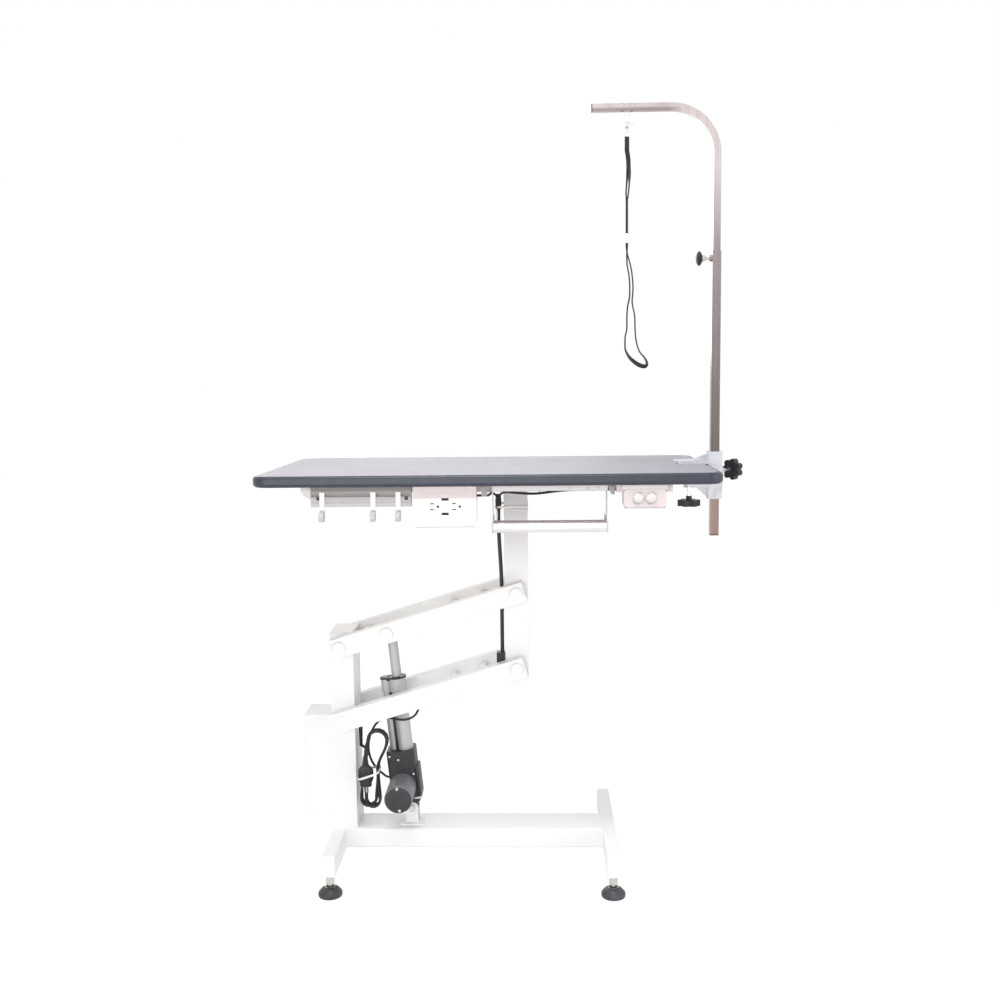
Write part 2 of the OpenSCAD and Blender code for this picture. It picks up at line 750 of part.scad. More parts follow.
module far_upper_arm() {
    color(white_paint) arm_place(high_pin_z) mirror([0, 1, 0]) near_arm(true);
}

module upper_arm_fittings() {
    color(white_paint) arm_place(high_pin_z) arm_fittings(upper_ties);
}

module upper_pins() {
    color(white_paint) arm_place(high_pin_z) {
        for (x = [0, arm_l]) pivot_pin(x, pin_r, true);
        pivot_pin(act_arm, rod_pin_r, false);
    }
}

// Actuator, drawn upright on its lower pivot and leaned towards its upper pin

module act_place() {
    placed() translate([act_x, 0, act_z]) rotate([0, -act_tilt, 0]) children();
}

module gear_housing() {
    half = housing_w / 2;
    color(dark_plastic) act_place() difference() {
        union() {
            bar_y(0, 0, lug_r, -lug_t / 2, lug_t / 2);
            block([-lug_r + 4, -lug_t / 2, 0], [lug_r, lug_t / 2, 24]);
            translate([0, 0, 20]) linear_extrude(housing_top - 20) translate([-housing_left, -half])
                rounded_rect(housing_left + housing_right, housing_w, 9);
        }
        bar_y(0, 0, bolt_r + run_play, -lug_t, lug_t);
        translate([0, 0, 36]) cylinder(h = housing_top - 60, r = wheel_r + bore_play);
        translate([0, 0, tube_low]) cylinder(h = 40, r = body_r + seat_play);
        translate([0, 0, 26]) cylinder(h = 20, r = screw_r + run_play);
        bar_y(motor_u, motor_v, worm_r + bore_play, -half - 1, half - 12);
    }
}

// The motor's can with its end bell, and its worm beside the wheel
module motor() {
    half = housing_w / 2;
    color(dark_plastic) act_place() translate([motor_u, 0, motor_v]) rotate([90, 0, 0]) {
        rotate_extrude() polygon([[0, half], [motor_r, half], [motor_r, half + motor_l - 2],
            [motor_r - 2, half + motor_l], [0, half + motor_l]]);
        translate([0, 0, -half + 14]) cylinder(h = 2 * half - 14 + eps, r = worm_r);
    }
}

module outer_tube() {
    low = tube_low;
    side_low = housing_top + 0.2;
    color(anodised) act_place() difference() {
        union() {
            translate([0, 0, low]) cylinder(h = collar_top - flange_t - low, r = body_r);
            translate([side_u, 0, side_low]) cylinder(h = collar_top - flange_t - side_low, r = side_r);
        }
        translate([0, 0, low - 1]) cylinder(h = collar_top, r = tube_in_r);
        translate([side_u, 0, side_low - 1]) cylinder(h = collar_top - side_low, r = side_r - 3);
    }
}

// The cap on the tube's top, which guides the rod
module actuator_collar() {
    skirt = 30;
    low = collar_top - flange_t;
    color(black_plastic) act_place() difference() {
        union() {
            translate([0, 0, low - skirt]) cylinder(h = skirt + flange_t, r = body_r + 2.5);
            translate([side_u, 0, low - skirt]) cylinder(h = skirt + flange_t, r = side_r + 2.5);
            block([side_u, -side_r - 2, low], [0, side_r + 2, collar_top]);
        }
        translate([0, 0, low - skirt - 1]) cylinder(h = skirt + 1, r = body_r + seat_play);
        translate([side_u, 0, low - skirt - 1]) cylinder(h = skirt + 1, r = side_r + seat_play);
        translate([0, 0, low - 1]) cylinder(h = flange_t + 2, r = rod_r + run_play);
    }
}

module actuator_lead() {
    color(black_plastic) placed() round_cord(lead_points, lead_r, 8, [0, 1, 0]);
}

// The screw with its worm wheel, which turn together
module lead_screw() {
    color(bright_steel) act_place() {
        translate([0, 0, 26.5]) cylinder(h = screw_top - 26.5, r = screw_r);
        translate([0, 0, motor_v - 8]) cylinder(h = 16, r = wheel_r);
    }
}

// The rod, its driven nut below and its eye above
module push_rod() {
    color(bright_steel) act_place() difference() {
        union() {
            translate([0, 0, rod_low]) cylinder(h = act_l - rod_low, r = rod_r);
            translate([0, 0, rod_low]) cylinder(h = 25, r = nut_r);
            bar_y(0, act_l, rod_eye_r, -14, 14);
        }
        translate([0, 0, rod_low - 1]) cylinder(h = rod_bore_top - rod_low + 1, r = screw_r + run_play);
        bar_y(0, act_l, rod_pin_r + rod_play, -15, 15);
    }
}

// Moving column and tabletop

module table_column() {
    head_z = frame_z - head_t;
    color(white_paint) placed() difference() {
        union() {
            block([table_col_x - col_l / 2, -col_w / 2, table_col_bottom],
                [table_col_x + col_l / 2, col_w / 2, head_z + eps]);
            translate([table_col_x - head_side / 2, -head_side / 2, head_z]) linear_extrude(head_t)
                rounded_rect(head_side, head_side, 6);
        }
        block([table_col_x - col_l / 2 + tube_wall, -col_w / 2 + tube_wall, table_col_bottom - 1],
            [table_col_x + col_l / 2 - tube_wall, col_w / 2 - tube_wall, head_z]);
        bar_y(table_col_x, low_pin_z + arm_rise, pin_r + run_play, -col_w, col_w);
        bar_y(table_col_x, high_pin_z + arm_rise, pin_r + 0.4, -col_w, col_w);
    }
}

// The frame's cross channels: their left sides, measured from the table's middle
cross_x = [-frame_l / 2, table_col_x - centre_gap / 2 - rail_w, table_col_x + centre_gap / 2,
    frame_l / 2 - rail_w];

module table_frame() {
    side_y = frame_w / 2 - rail_w;
    w = rail_wall;
    color(white_paint) placed() difference() {
        union() {
            on_both_sides() block([-frame_l / 2, side_y, frame_z], [frame_l / 2, side_y + rail_w, under_z]);
            for (x = cross_x) block([x, -side_y - eps, frame_z], [x + rail_w, side_y + eps, under_z]);
        }
        on_both_sides() block([-frame_l / 2 + w, side_y + w, frame_z + w],
            [frame_l / 2 - w, side_y + rail_w - w, under_z + 1]);
        for (x = cross_x) block([x + w, -side_y + w, frame_z + w], [x + rail_w - w, side_y - w, under_z + 1]);
    }
}

module board_outline() {
    translate([-table_l / 2 + trim_w, -table_w / 2 + trim_w])
        rounded_rect(table_l - 2 * trim_w, table_w - 2 * trim_w, board_r);
}

module board() {
    color("#b99a6b") placed() translate([0, 0, under_z]) linear_extrude(board_t) board_outline();
}

module table_mat() {
    color(mat_grey) placed() translate([0, 0, under_z + board_t]) linear_extrude(mat_t) board_outline();
}

// The edge strip's section: flat against the board, round outside
module trim_section() {
    r = min(trim_round, trim_w - 1);
    intersection() {
        union() {
            square([trim_w - r, top_t]);
            translate([0, r]) square([trim_w, top_t - 2 * r]);
            for (y = [r, top_t - r]) translate([trim_w - r, y]) circle(r);
        }
        square([trim_w, top_t]);
    }
}

module edge_trim() {
    l = table_l / 2 - corner_r;
    w = table_w / 2 - corner_r;
    color(slate_rubber) placed() translate([0, 0, under_z]) {
        for (s = [[1, 1, 0], [-1, 1, 90], [-1, -1, 180], [1, -1, 270]])
            translate([s[0] * l, s[1] * w, 0]) rotate(s[2]) rotate_extrude(angle = 90, $fn = 96)
                translate([board_r, 0]) trim_section();
        for (side = [[0, l, w], [90, w, l], [180, l, w], [270, w, l]]) rotate(side[0])
            translate([side[1], 0, 0]) rotate([90, 0, -90]) linear_extrude(2 * side[1])
                translate([-side[2] - board_r, 0]) mirror([1, 0]) trim_section();
    }
}

// Hooks, outlets, tray and buttons

groove_z = under_z - 21;
rail_t = 12;

module hook_rail() {
    y0 = front_y + 18;
    color(cast_silver) placed() difference() {
        block([rail_x, y0, under_z - rail_h], [rail_x + rail_l, y0 + rail_t, under_z]);
        block([rail_x - 1, y0 - 1, groove_z - 3], [rail_x + rail_l + 1, y0 + 3.5, groove_z + 3]);
        block([rail_x - 1, y0 + 3.5, groove_z - 7], [rail_x + rail_l + 1, y0 + 8, groove_z + 7]);
        for (z = [under_z - rail_h + 10, under_z - 8])
            block([rail_x - 1, y0 - 1, z - 1.2], [rail_x + rail_l + 1, y0 + 1, z + 1.2]);
    }
}

// A J hook whose head runs in the rail's groove
module hook(x) {
    y0 = front_y + 18;
    w = 12;
    t = 3;
    bend = 8;
    low = under_z - 71;
    color(white_paint) placed() translate([x, 0, 0]) {
        block([-w / 2, y0 - t - 0.2, low], [w / 2, y0 - 0.2, groove_z + 8]);
        block([-w / 2, y0 - 0.2 - eps, groove_z - 2.7], [w / 2, y0 + 4, groove_z + 2.7]);
        block([-w / 2, y0 + 3.8, groove_z - 6.6], [w / 2, y0 + 7.6, groove_z + 6.6]);
        translate([-w / 2, y0 - t - 0.2 - bend, low]) rotate([0, 90, 0]) rotate([0, 0, -90])
            rotate_extrude(angle = 180) translate([bend, 0]) square([t, w]);
        block([-w / 2, y0 - 2 * t - 0.2 - 2 * bend, low], [w / 2, y0 - t - 0.2 - 2 * bend, low + 13]);
    }
}

module hook_left() {
    hook(-386);
}

module hook_middle() {
    hook(-266);
}

module hook_right() {
    hook(-207);
}

plate_t = 4;

module outlet_box() {
    x1 = outlet_x + outlet_l;
    z0 = under_z - outlet_h;
    color(white_paint) placed() difference() {
        block([outlet_x + 1.5, front_y + plate_t, z0 + 3], [x1 - 1.5, front_y + shallow, under_z]);
        block([outlet_x + 1.5 + box_wall, front_y, z0 + 3 + box_wall],
            [x1 - 1.5 - box_wall, front_y + shallow - box_wall, under_z - box_wall]);
    }
}

// The face with two power sockets lying on their sides and two charging ports between
module outlet_plate() {
    x1 = outlet_x + outlet_l;
    z0 = under_z - outlet_h;
    mid_z = z0 + outlet_h / 2;
    face_mid = outlet_x + 75;
    color(white_paint) placed() difference() {
        union() {
            upright_box(outlet_x, x1, front_y, front_y + plate_t, z0, under_z, 3);
            upright_box(face_mid - 44, face_mid + 44, front_y + plate_t - eps, front_y + 22, mid_z - 27,
                mid_z + 27, 3);
        }
        for (x = [face_mid - 30.5, face_mid + 20.5]) {
            for (z = [-7, 7])
                block([x - 4.5, front_y - 1, mid_z + z - 1.3], [x + 4.5, front_y + 20, mid_z + z + 1.3]);
            bar_y(x + 13.5, mid_z, 3, front_y - 1, front_y + 20);
        }
        for (z = [-17, 17])
            block([face_mid - 9, front_y - 1, mid_z + z - 3], [face_mid + 9, front_y + 16, mid_z + z + 3]);
    }
}

lip_top = under_z - tray_drop;
lip_low = lip_top - lip_h;
sheet = 1.5;

// The tray's hanger: a flange under the board and a plate down each side
module tray_hanger() {
    x1 = tray_x + tray_l;
    y0 = front_y + 10;
    color(white_paint) placed() {
        block([tray_x, y0, under_z - sheet], [x1, y0 + 45, under_z]);
        block([tray_x, y0, under_z - 13], [x1, y0 + sheet, under_z - sheet + eps]);
        for (x = [tray_x, x1 - sheet]) {
            block([x, y0, lip_low], [x + sheet, y0 + 45, under_z - sheet + eps]);
            block([x, y0 + 45 - eps, lip_low], [x + sheet, y0 + tray_w, lip_top + 7]);
        }
    }
}

// A sheet tray with a round front lip, held between the hanger's plates
module tool_tray() {
    x0 = tray_x + sheet;
    x1 = tray_x + tray_l - sheet;
    y0 = front_y + 10;
    r = lip_h / 2;
    color(bright_steel) placed() {
        translate([x0, y0 + r, lip_low + r]) rotate([90, 0, 90]) difference() {
            linear_extrude(x1 - x0) circle(r);
            translate([0, 0, -1]) linear_extrude(x1 - x0 + 2) circle(r - sheet);
        }
        block([x0, y0 + r, lip_low + 3], [x1, y0 + tray_w, lip_low + 3 + sheet]);
        block([x0, y0 + tray_w - sheet, lip_low + 3], [x1, y0 + tray_w, lip_top - 8]);
    }
}

button_x = [button_box_x + 33, button_box_x + 63];
button_z = under_z - 31;

module button_box() {
    x1 = button_box_x + button_box_l;
    z0 = under_z - button_box_h;
    z1 = under_z - button_box_gap;
    back = front_y + shallow;
    tab = 16;
    w = box_wall;
    color(white_paint) placed() difference() {
        union() {
            upright_box(button_box_x, x1, front_y, back, z0, z1, 8);
            for (x = [button_box_x - tab, x1 - 8])
                block([x, front_y + 12, z1 - 8], [x + tab + 8, back, under_z]);
            for (x = button_x) bar_y(x, button_z, button_r + 2.5, front_y - 2, front_y + 1);
        }
        upright_box(button_box_x + w, x1 - w, front_y + w, back - w, z0 + w, z1 - w, 6);
        for (x = [button_box_x - tab + w, x1 + w])
            block([x, front_y + 12 + w, z1 - 9], [x + tab - 2 * w, back + 1, under_z - w]);
        for (x = button_x) bar_y(x, button_z, button_r + 0.2, front_y - 3, front_y + w + 1);
    }
}

// A domed push button, guided by the box's face, with a flange behind it
module button(x) {
    color(white_paint) placed() translate([x, front_y + 16, button_z]) rotate([90, 0, 0]) rotate_extrude()
        polygon([[0, 0], [button_r, 0], [button_r, 20], [button_r - 1.2, 21.6], [button_r - 4, 22.6],
            [0, 23]]);
}

module button_up() {
    button(button_x[0]);
}

module button_down() {
    button(button_x[1]);
}

module column_cable() {
    color(black_plastic) placed() {
        round_cord(cable_points, cable_r, 8, [1, 0, 0]);
        translate([cable_x - 6, cable_y - 5, boot_z]) rotate([5, 0, 0])
            cylinder(h = boot_h, r1 = cable_r + 1, r2 = 2 * lead_r + 5);
        for (route = [button_lead, outlet_lead]) round_cord(route, lead_r, 8, [0, 0, 1]);
    }
}

module cable_clamp() {
    face = table_col_x - col_l / 2;
    color(black_plastic) placed() translate([face - 22, cable_y - 12, clamp_top - 32]) cube([22, 24, 32]);
}

// Clamp and grooming post

// A lobed hand knob along +Z from its underside
module lobed_knob(r, lobes, lobe_r, h) {
    linear_extrude(h) {
        circle(r - lobe_r * 0.75);
        for (k = [0 : lobes - 1]) rotate(360 * k / lobes) translate([r - lobe_r, 0]) circle(lobe_r);
    }
}

module clamp_body() {
    s = sleeve_w / 2;
    play = post_w / 2 + slide_play;
    jaw_x = post_x - s - jaw_l;
    low_jaw_z = under_z - 35;
    color(cast_silver) placed() difference() {
        union() {
            block([post_x - s, -s, sleeve_low], [post_x + s, s, table_h + sleeve_up]);
            translate([0, 0, table_h]) linear_extrude(jaw_t) {
                translate([jaw_x + 14, -jaw_w / 2]) square([jaw_l - 14 + s, jaw_w]);
                translate([jaw_x, -jaw_w / 2 + 12]) square([20, jaw_w - 24]);
                for (y = [-1, 1]) translate([jaw_x + 14, y * (jaw_w / 2 - 12)]) circle(12);
            }
            translate([0, 5, 0]) rotate([90, 0, 0]) linear_extrude(10)
                polygon([[post_x - s + 1, table_h + sleeve_up - 4], [post_x - s - 46, table_h + jaw_t - 1],
                    [post_x - s + 1, table_h + jaw_t - 1]]);
            block([clamp_screw_x, -14, low_jaw_z], [post_x - s + 1, 14, low_jaw_z + 12]);
            translate([clamp_screw_x, 0, low_jaw_z]) cylinder(h = 16, r = 14);
            translate([0, 6, 0]) rotate([90, 0, 0]) linear_extrude(12)
                polygon([[post_x - s + 1, sleeve_low + 2], [post_x - s + 1, low_jaw_z + 1],
                    [post_x - s - 30, low_jaw_z + 1]]);
            translate([post_x, 0, star_z]) rotate([90, 0, 135]) cylinder(h = s * sqrt(2) + 8, r = 9);
        }
        block([post_x - play, -play, sleeve_low - 1], [post_x + play, play, table_h + sleeve_up + 1]);
        translate([clamp_screw_x, 0, low_jaw_z - 1]) cylinder(h = 20, r = 5 + run_play);
        translate([post_x, 0, star_z]) rotate([90, 0, 135]) cylinder(h = 60, r = 4 + run_play);
    }
}

module star_knob() {
    tip = post_w / 2 * sqrt(2) + 0.4;
    color(black_plastic) placed() translate([post_x, 0, star_z]) rotate([90, 0, 135]) {
        translate([0, 0, tip]) cylinder(h = star_out - tip, r = 4);
        translate([0, 0, star_out - star_t / 2 - 8]) cylinder(h = 10, r = 9);
        translate([0, 0, star_out - star_t / 2]) lobed_knob(star_r, 7, 8, star_t);
    }
}

module clamp_screw() {
    knob_z = sleeve_low - 19;
    color(black_plastic) placed() translate([clamp_screw_x, 0, 0]) {
        translate([0, 0, knob_z]) lobed_knob(clamp_knob_r, 6, 8, 16);
        translate([0, 0, knob_z + 15]) cylinder(h = 11, r = 7.5);
        translate([0, 0, knob_z + 20]) cylinder(h = under_z - 6 - knob_z - 20, r = 5);
        translate([0, 0, under_z - 6.2]) cylinder(h = 6, r = 13);
    }
}

module square_tube(w, wall, h) {
    linear_extrude(h) difference() {
        square(w, center = true);
        square(w - 2 * wall, center = true);
    }
}

module post() {
    color(bright_steel) placed() translate([post_x, 0, 0]) difference() {
        union() {
            translate([0, 0, post_bottom]) square_tube(post_w, post_wall, post_l);
            translate([-post_w / 2 + 0.5, 0, thumb_z]) rotate([0, -90, 0]) cylinder(h = 7.5, r = 8);
        }
        translate([-post_w / 2 - 8, 0, thumb_z]) rotate([0, 90, 0]) cylinder(h = 12, r = 4 + run_play);
    }
}

// The thumb knob: a disc with a crowned face, its collar and its screw
module thumb_knob() {
    tip = inner_w / 2 + 0.2;
    out = post_w / 2 + 24;
    color(black_plastic) placed() translate([post_x, 0, thumb_z]) rotate([0, -90, 0]) rotate_extrude()
        polygon([[0, tip], [4, tip], [4, out - 8], [8, out - 6], [8, out], [thumb_r - 4, out + 3],
            [thumb_r, out + 6.5], [thumb_r, out + 8.5], [thumb_r - 4, out + 12.5], [8, out + 15],
            [0, out + 16]]);
}

module bent_arm() {
    low = post_top - arm_inside;
    bend_z = arm_mid_z - bend_r;
    color(bright_steel) placed() difference() {
        union() {
            translate([post_x, 0, low]) square_tube(inner_w, bent_wall, bend_z - low);
            translate([post_x - bend_r, 0, bend_z]) rotate([90, 0, 0]) rotate_extrude(angle = 90, $fn = 96)
                translate([bend_r, 0]) difference() {
                    square(inner_w, center = true);
                    square(inner_w - 2 * bent_wall, center = true);
                }
            translate([arm_tip_x, 0, arm_mid_z]) rotate([0, 90, 0]) square_tube(inner_w, bent_wall, post_x - bend_r - arm_tip_x);
        }
        for (s = [-1, 1]) translate([noose_x + s * bail_half, 0, arm_mid_z - inner_w])
            cylinder(h = 2 * inner_w, r = wire_r + 0.1);
    }
}

// A round wire between two points of the X and Z plane
module wire(a, b, r) {
    d = b - a;
    translate([a[0], 0, a[1]]) rotate([0, atan2(d[0], d[1]), 0]) cylinder(h = norm(d), r = r);
}

// A bail of round wire, with its two ends in the bent arm and a rounded point below
module eye_bolt() {
    point_r = 4;
    flat = 2;
    arc_z = -bail_drop + point_r;
    arc_x = point_r + flat / 2;
    turn_z = -3;
    color(bright_steel) placed() translate([noose_x, 0, bail_z]) {
        for (s = [-1, 1]) {
            translate([s * bail_half, 0, turn_z]) cylinder(h = inner_w + 1.5 - turn_z, r = wire_r);
            translate([s * bail_half, 0, -1.7]) cylinder(h = 1.5, r = 4);
            translate([s * bail_half, 0, inner_w + 0.2]) cylinder(h = 2, r = 3.4);
            wire([s * bail_half, turn_z], [s * arc_x, arc_z], wire_r);
            for (q = [[bail_half, turn_z], [arc_x, arc_z]]) translate([s * q[0], 0, q[1]]) sphere(wire_r + 0.05);
        }
        translate([-flat / 2, 0, -bail_drop]) rotate([0, 90, 0]) cylinder(h = flat, r = wire_r);
        for (s = [-1, 1]) translate([s * flat / 2, 0, arc_z]) rotate([90, 0, 0]) rotate([0, 0, s > 0 ? 270 : 180])
            rotate_extrude(angle = 90) translate([point_r, 0]) circle(wire_r);
    }
}

// The snap hook: its ring on the bail, and its barrel with the latch's lever
module snap_hook() {
    color(bright_steel) placed() translate([noose_x, 0, 0]) difference() {
        union() {
            translate([0, 0, snap_ring_z]) rotate([0, 90, 0]) rotate_extrude()
                translate([snap_ring_r, 0]) circle(wire_r);
            translate([0, 0, barrel_low]) cylinder(h = barrel_top - barrel_low, r = 4.6);
            translate([0, 0, barrel_top - 6]) rotate([0, 90, 0]) cylinder(h = 17, r = 1.5);
            translate([17, 0, barrel_top - 6]) sphere(2.4);
        }
        translate([0, 0, barrel_low - 1]) cylinder(h = 9, r = 2 + run_play);
    }
}

// The webbing, sewn below the bar of its swivel eye
module noose_strap() {
    bar_half = strap_w / 2 + wire_r + 0.6;
    stem_z = bar_z + 15;
    color(black_plastic) placed() translate([noose_x, 0, 0]) {
        translate([0, 0, stem_z]) cylinder(h = barrel_low + 7 - stem_z, r = 2);
        translate([-bar_half, 0, bar_z]) rotate([0, 90, 0]) cylinder(h = 2 * bar_half, r = wire_r);
        for (s = [-1, 1]) wire([s * bar_half, bar_z], [0, stem_z], wire_r);
        for (q = [[-bar_half, bar_z], [bar_half, bar_z], [0, stem_z]])
            translate([q[0], 0, q[1]]) sphere(wire_r + 0.4);
        swept(strap_path, strap_band, strap_side);
        block([-strap_w / 2 + 0.4, -bar_out, bar_z - 24], [strap_w / 2 - 0.4, bar_out, bar_z - 11]);
    }
}

module noose_slider() {
    half = strap_w / 2 + 0.5;
    thick = strap_t + 0.25 + 0.5;
    wall = 1;
    color(bright_steel) placed() translate([noose_x, 0, slider_z]) rotate([0, 0, strap_skew]) difference() {
        linear_extrude(slider_h) translate([-half - wall, -thick - wall])
            rounded_rect(2 * (half + wall), 2 * (thick + wall), 1.5);
        block([-half, -thick, -1], [half, thick, slider_h + 1]);
    }
}

// Mains cord

hank_first = hank_route[0];
hank_last = hank_route[len(hank_route) - 1];
first_way = heading(hank_route, 0);
last_way = heading(hank_route, len(hank_route) - 1);
plug_top = [plug_x, plug_y, plug_z + plug_h + relief_h + 0.3];
cord_fall = concat([for (z = [26.3, 36, 50, 64]) [gland_x, hank_y, gland_z - z]],
    [[gland_x + 1.5, hank_y, gland_z - 82]],
    [for (d = [24, 8, 0.3]) hank_first - d * first_way]);
cord_tail = concat([for (d = [0.3, 6]) hank_last + d * last_way],
    [hank_last + 10 * last_way + [-0.5, -3, 0], plug_top + [0, 3, 12], plug_top + [0, 0, 6], plug_top]);

module mains_cord() {
    color(black_plastic) placed() {
        round_cord(cord_fall, cord_r, 8, [0, 1, 0]);
        round_cord(cord_tail, cord_r, 8, [0, 1, 0]);
    }
}

module mains_hank() {
    color(black_plastic) placed() round_cord(hank_route, cord_r, 6, [0, 1, 0]);
}

module mains_plug() {
    prong = 18;
    color(black_plastic) placed() translate([plug_x, plug_y, plug_z]) {
        translate([0, 11, 0]) rotate([90, 0, 0]) linear_extrude(22) {
            translate([-plug_w / 2, 12]) rounded_rect(plug_w, plug_h - 14, 11);
            translate([-plug_w / 2 + 5, 0]) square([plug_w - 10, 24]);
        }
        translate([0, 0, plug_h - 3]) cylinder(h = relief_h + 3, r1 = 9, r2 = cord_r + 1);
        for (x = [-6.4, 6.4]) block([x - 0.8, -3.2, -prong], [x + 0.8, 3.2, eps]);
        translate([0, 7, -prong - 3]) cylinder(h = prong + 4, r = 2.3);
    }
}

crossbar();
leg(left_leg_x);  // left_leg
leg(right_leg_x);  // right_leg
tube_caps();
base_column();
actuator_bracket();
bracket_bolt();
control_box();
control_cover();
cord_gland();
foot_front_left();
foot_front_right();
foot_rear_left();
foot_rear_right();
near_lower_arm();
far_lower_arm();
lower_arm_fittings();
lower_pins();
near_upper_arm();
far_upper_arm();
upper_arm_fittings();
upper_pins();
gear_housing();
motor();
outer_tube();
actuator_collar();
actuator_lead();
lead_screw();
push_rod();
table_column();
table_frame();
board();
table_mat();
edge_trim();
hook_rail();
hook_left();
hook_middle();
hook_right();
outlet_box();
outlet_plate();
tray_hanger();
tool_tray();
button_box();
button_up();
button_down();
column_cable();
cable_clamp();
clamp_body();
star_knob();
clamp_screw();
post();
thumb_knob();
bent_arm();
eye_bolt();
snap_hook();
noose_strap();
noose_slider();
mains_cord();
mains_hank();
mains_plug();
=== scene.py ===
import json
import math

import bmesh
import bpy
from mathutils import Matrix, Vector


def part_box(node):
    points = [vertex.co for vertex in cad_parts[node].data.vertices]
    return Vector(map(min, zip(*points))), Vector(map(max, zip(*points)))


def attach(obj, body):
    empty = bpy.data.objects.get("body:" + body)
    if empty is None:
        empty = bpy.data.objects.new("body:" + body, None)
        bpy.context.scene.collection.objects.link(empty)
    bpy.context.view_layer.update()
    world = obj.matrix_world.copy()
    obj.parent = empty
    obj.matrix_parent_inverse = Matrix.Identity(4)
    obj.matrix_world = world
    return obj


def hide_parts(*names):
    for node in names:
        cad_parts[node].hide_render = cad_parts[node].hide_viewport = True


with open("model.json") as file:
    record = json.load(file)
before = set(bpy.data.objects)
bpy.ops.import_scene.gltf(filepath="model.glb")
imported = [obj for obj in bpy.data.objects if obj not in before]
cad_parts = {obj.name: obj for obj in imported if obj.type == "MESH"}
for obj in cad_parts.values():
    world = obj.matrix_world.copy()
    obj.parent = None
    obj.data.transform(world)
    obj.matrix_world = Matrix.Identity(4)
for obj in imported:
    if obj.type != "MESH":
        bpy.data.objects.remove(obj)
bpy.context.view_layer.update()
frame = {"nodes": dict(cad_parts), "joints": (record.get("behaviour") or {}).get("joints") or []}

bl_info = {
    "name": "Electric grooming table",
    "version": (1, 0, 0),
    "blender": (4, 5, 0),
    "location": "View3D > Sidebar > Grooming Table",
    "description": "Dresses the lift table's frame in its finishes, cords, webbing and small fittings",
    "category": "Object",
}

MM = 0.001
TRIM_LOW, TRIM_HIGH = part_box("edge_trim")
MID_X = (TRIM_LOW.x + TRIM_HIGH.x) / 2
UNDER_Z = TRIM_LOW.z
FRONT_WAY = Vector((0, -1, 0))
UP = Vector((0, 0, 1))

# The photograph's camera, in millimetres from the floor below the tabletop's middle, and degrees
CAMERA_PLACE = (111.23, -2886.94, 1282.41)
CAMERA_YAW = 1.75498
CAMERA_PITCH = 6.23235
CAMERA_ROLL = -0.65237
CAMERA_LENS = 40.615


def spot(x, y, z):
    """A point given in millimetres from the floor below the middle of the tabletop."""
    return Vector((MID_X + x * MM, y * MM, z * MM))


def at(x, y, z):
    """A place on the floor's axes, its point as for spot()."""
    return Matrix.Translation(spot(x, y, z))


def middle(node):
    """The middle of a node's box."""
    low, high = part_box(node)
    return (low + high) / 2


def extent(node):
    """A node's lowest and highest corners in the millimetres that spot() takes."""
    return [Vector(((p.x - MID_X) / MM, p.y / MM, p.z / MM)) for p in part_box(node)]


def settings():
    """The settings of the panel."""
    return bpy.context.scene.grooming_table


# Finishes


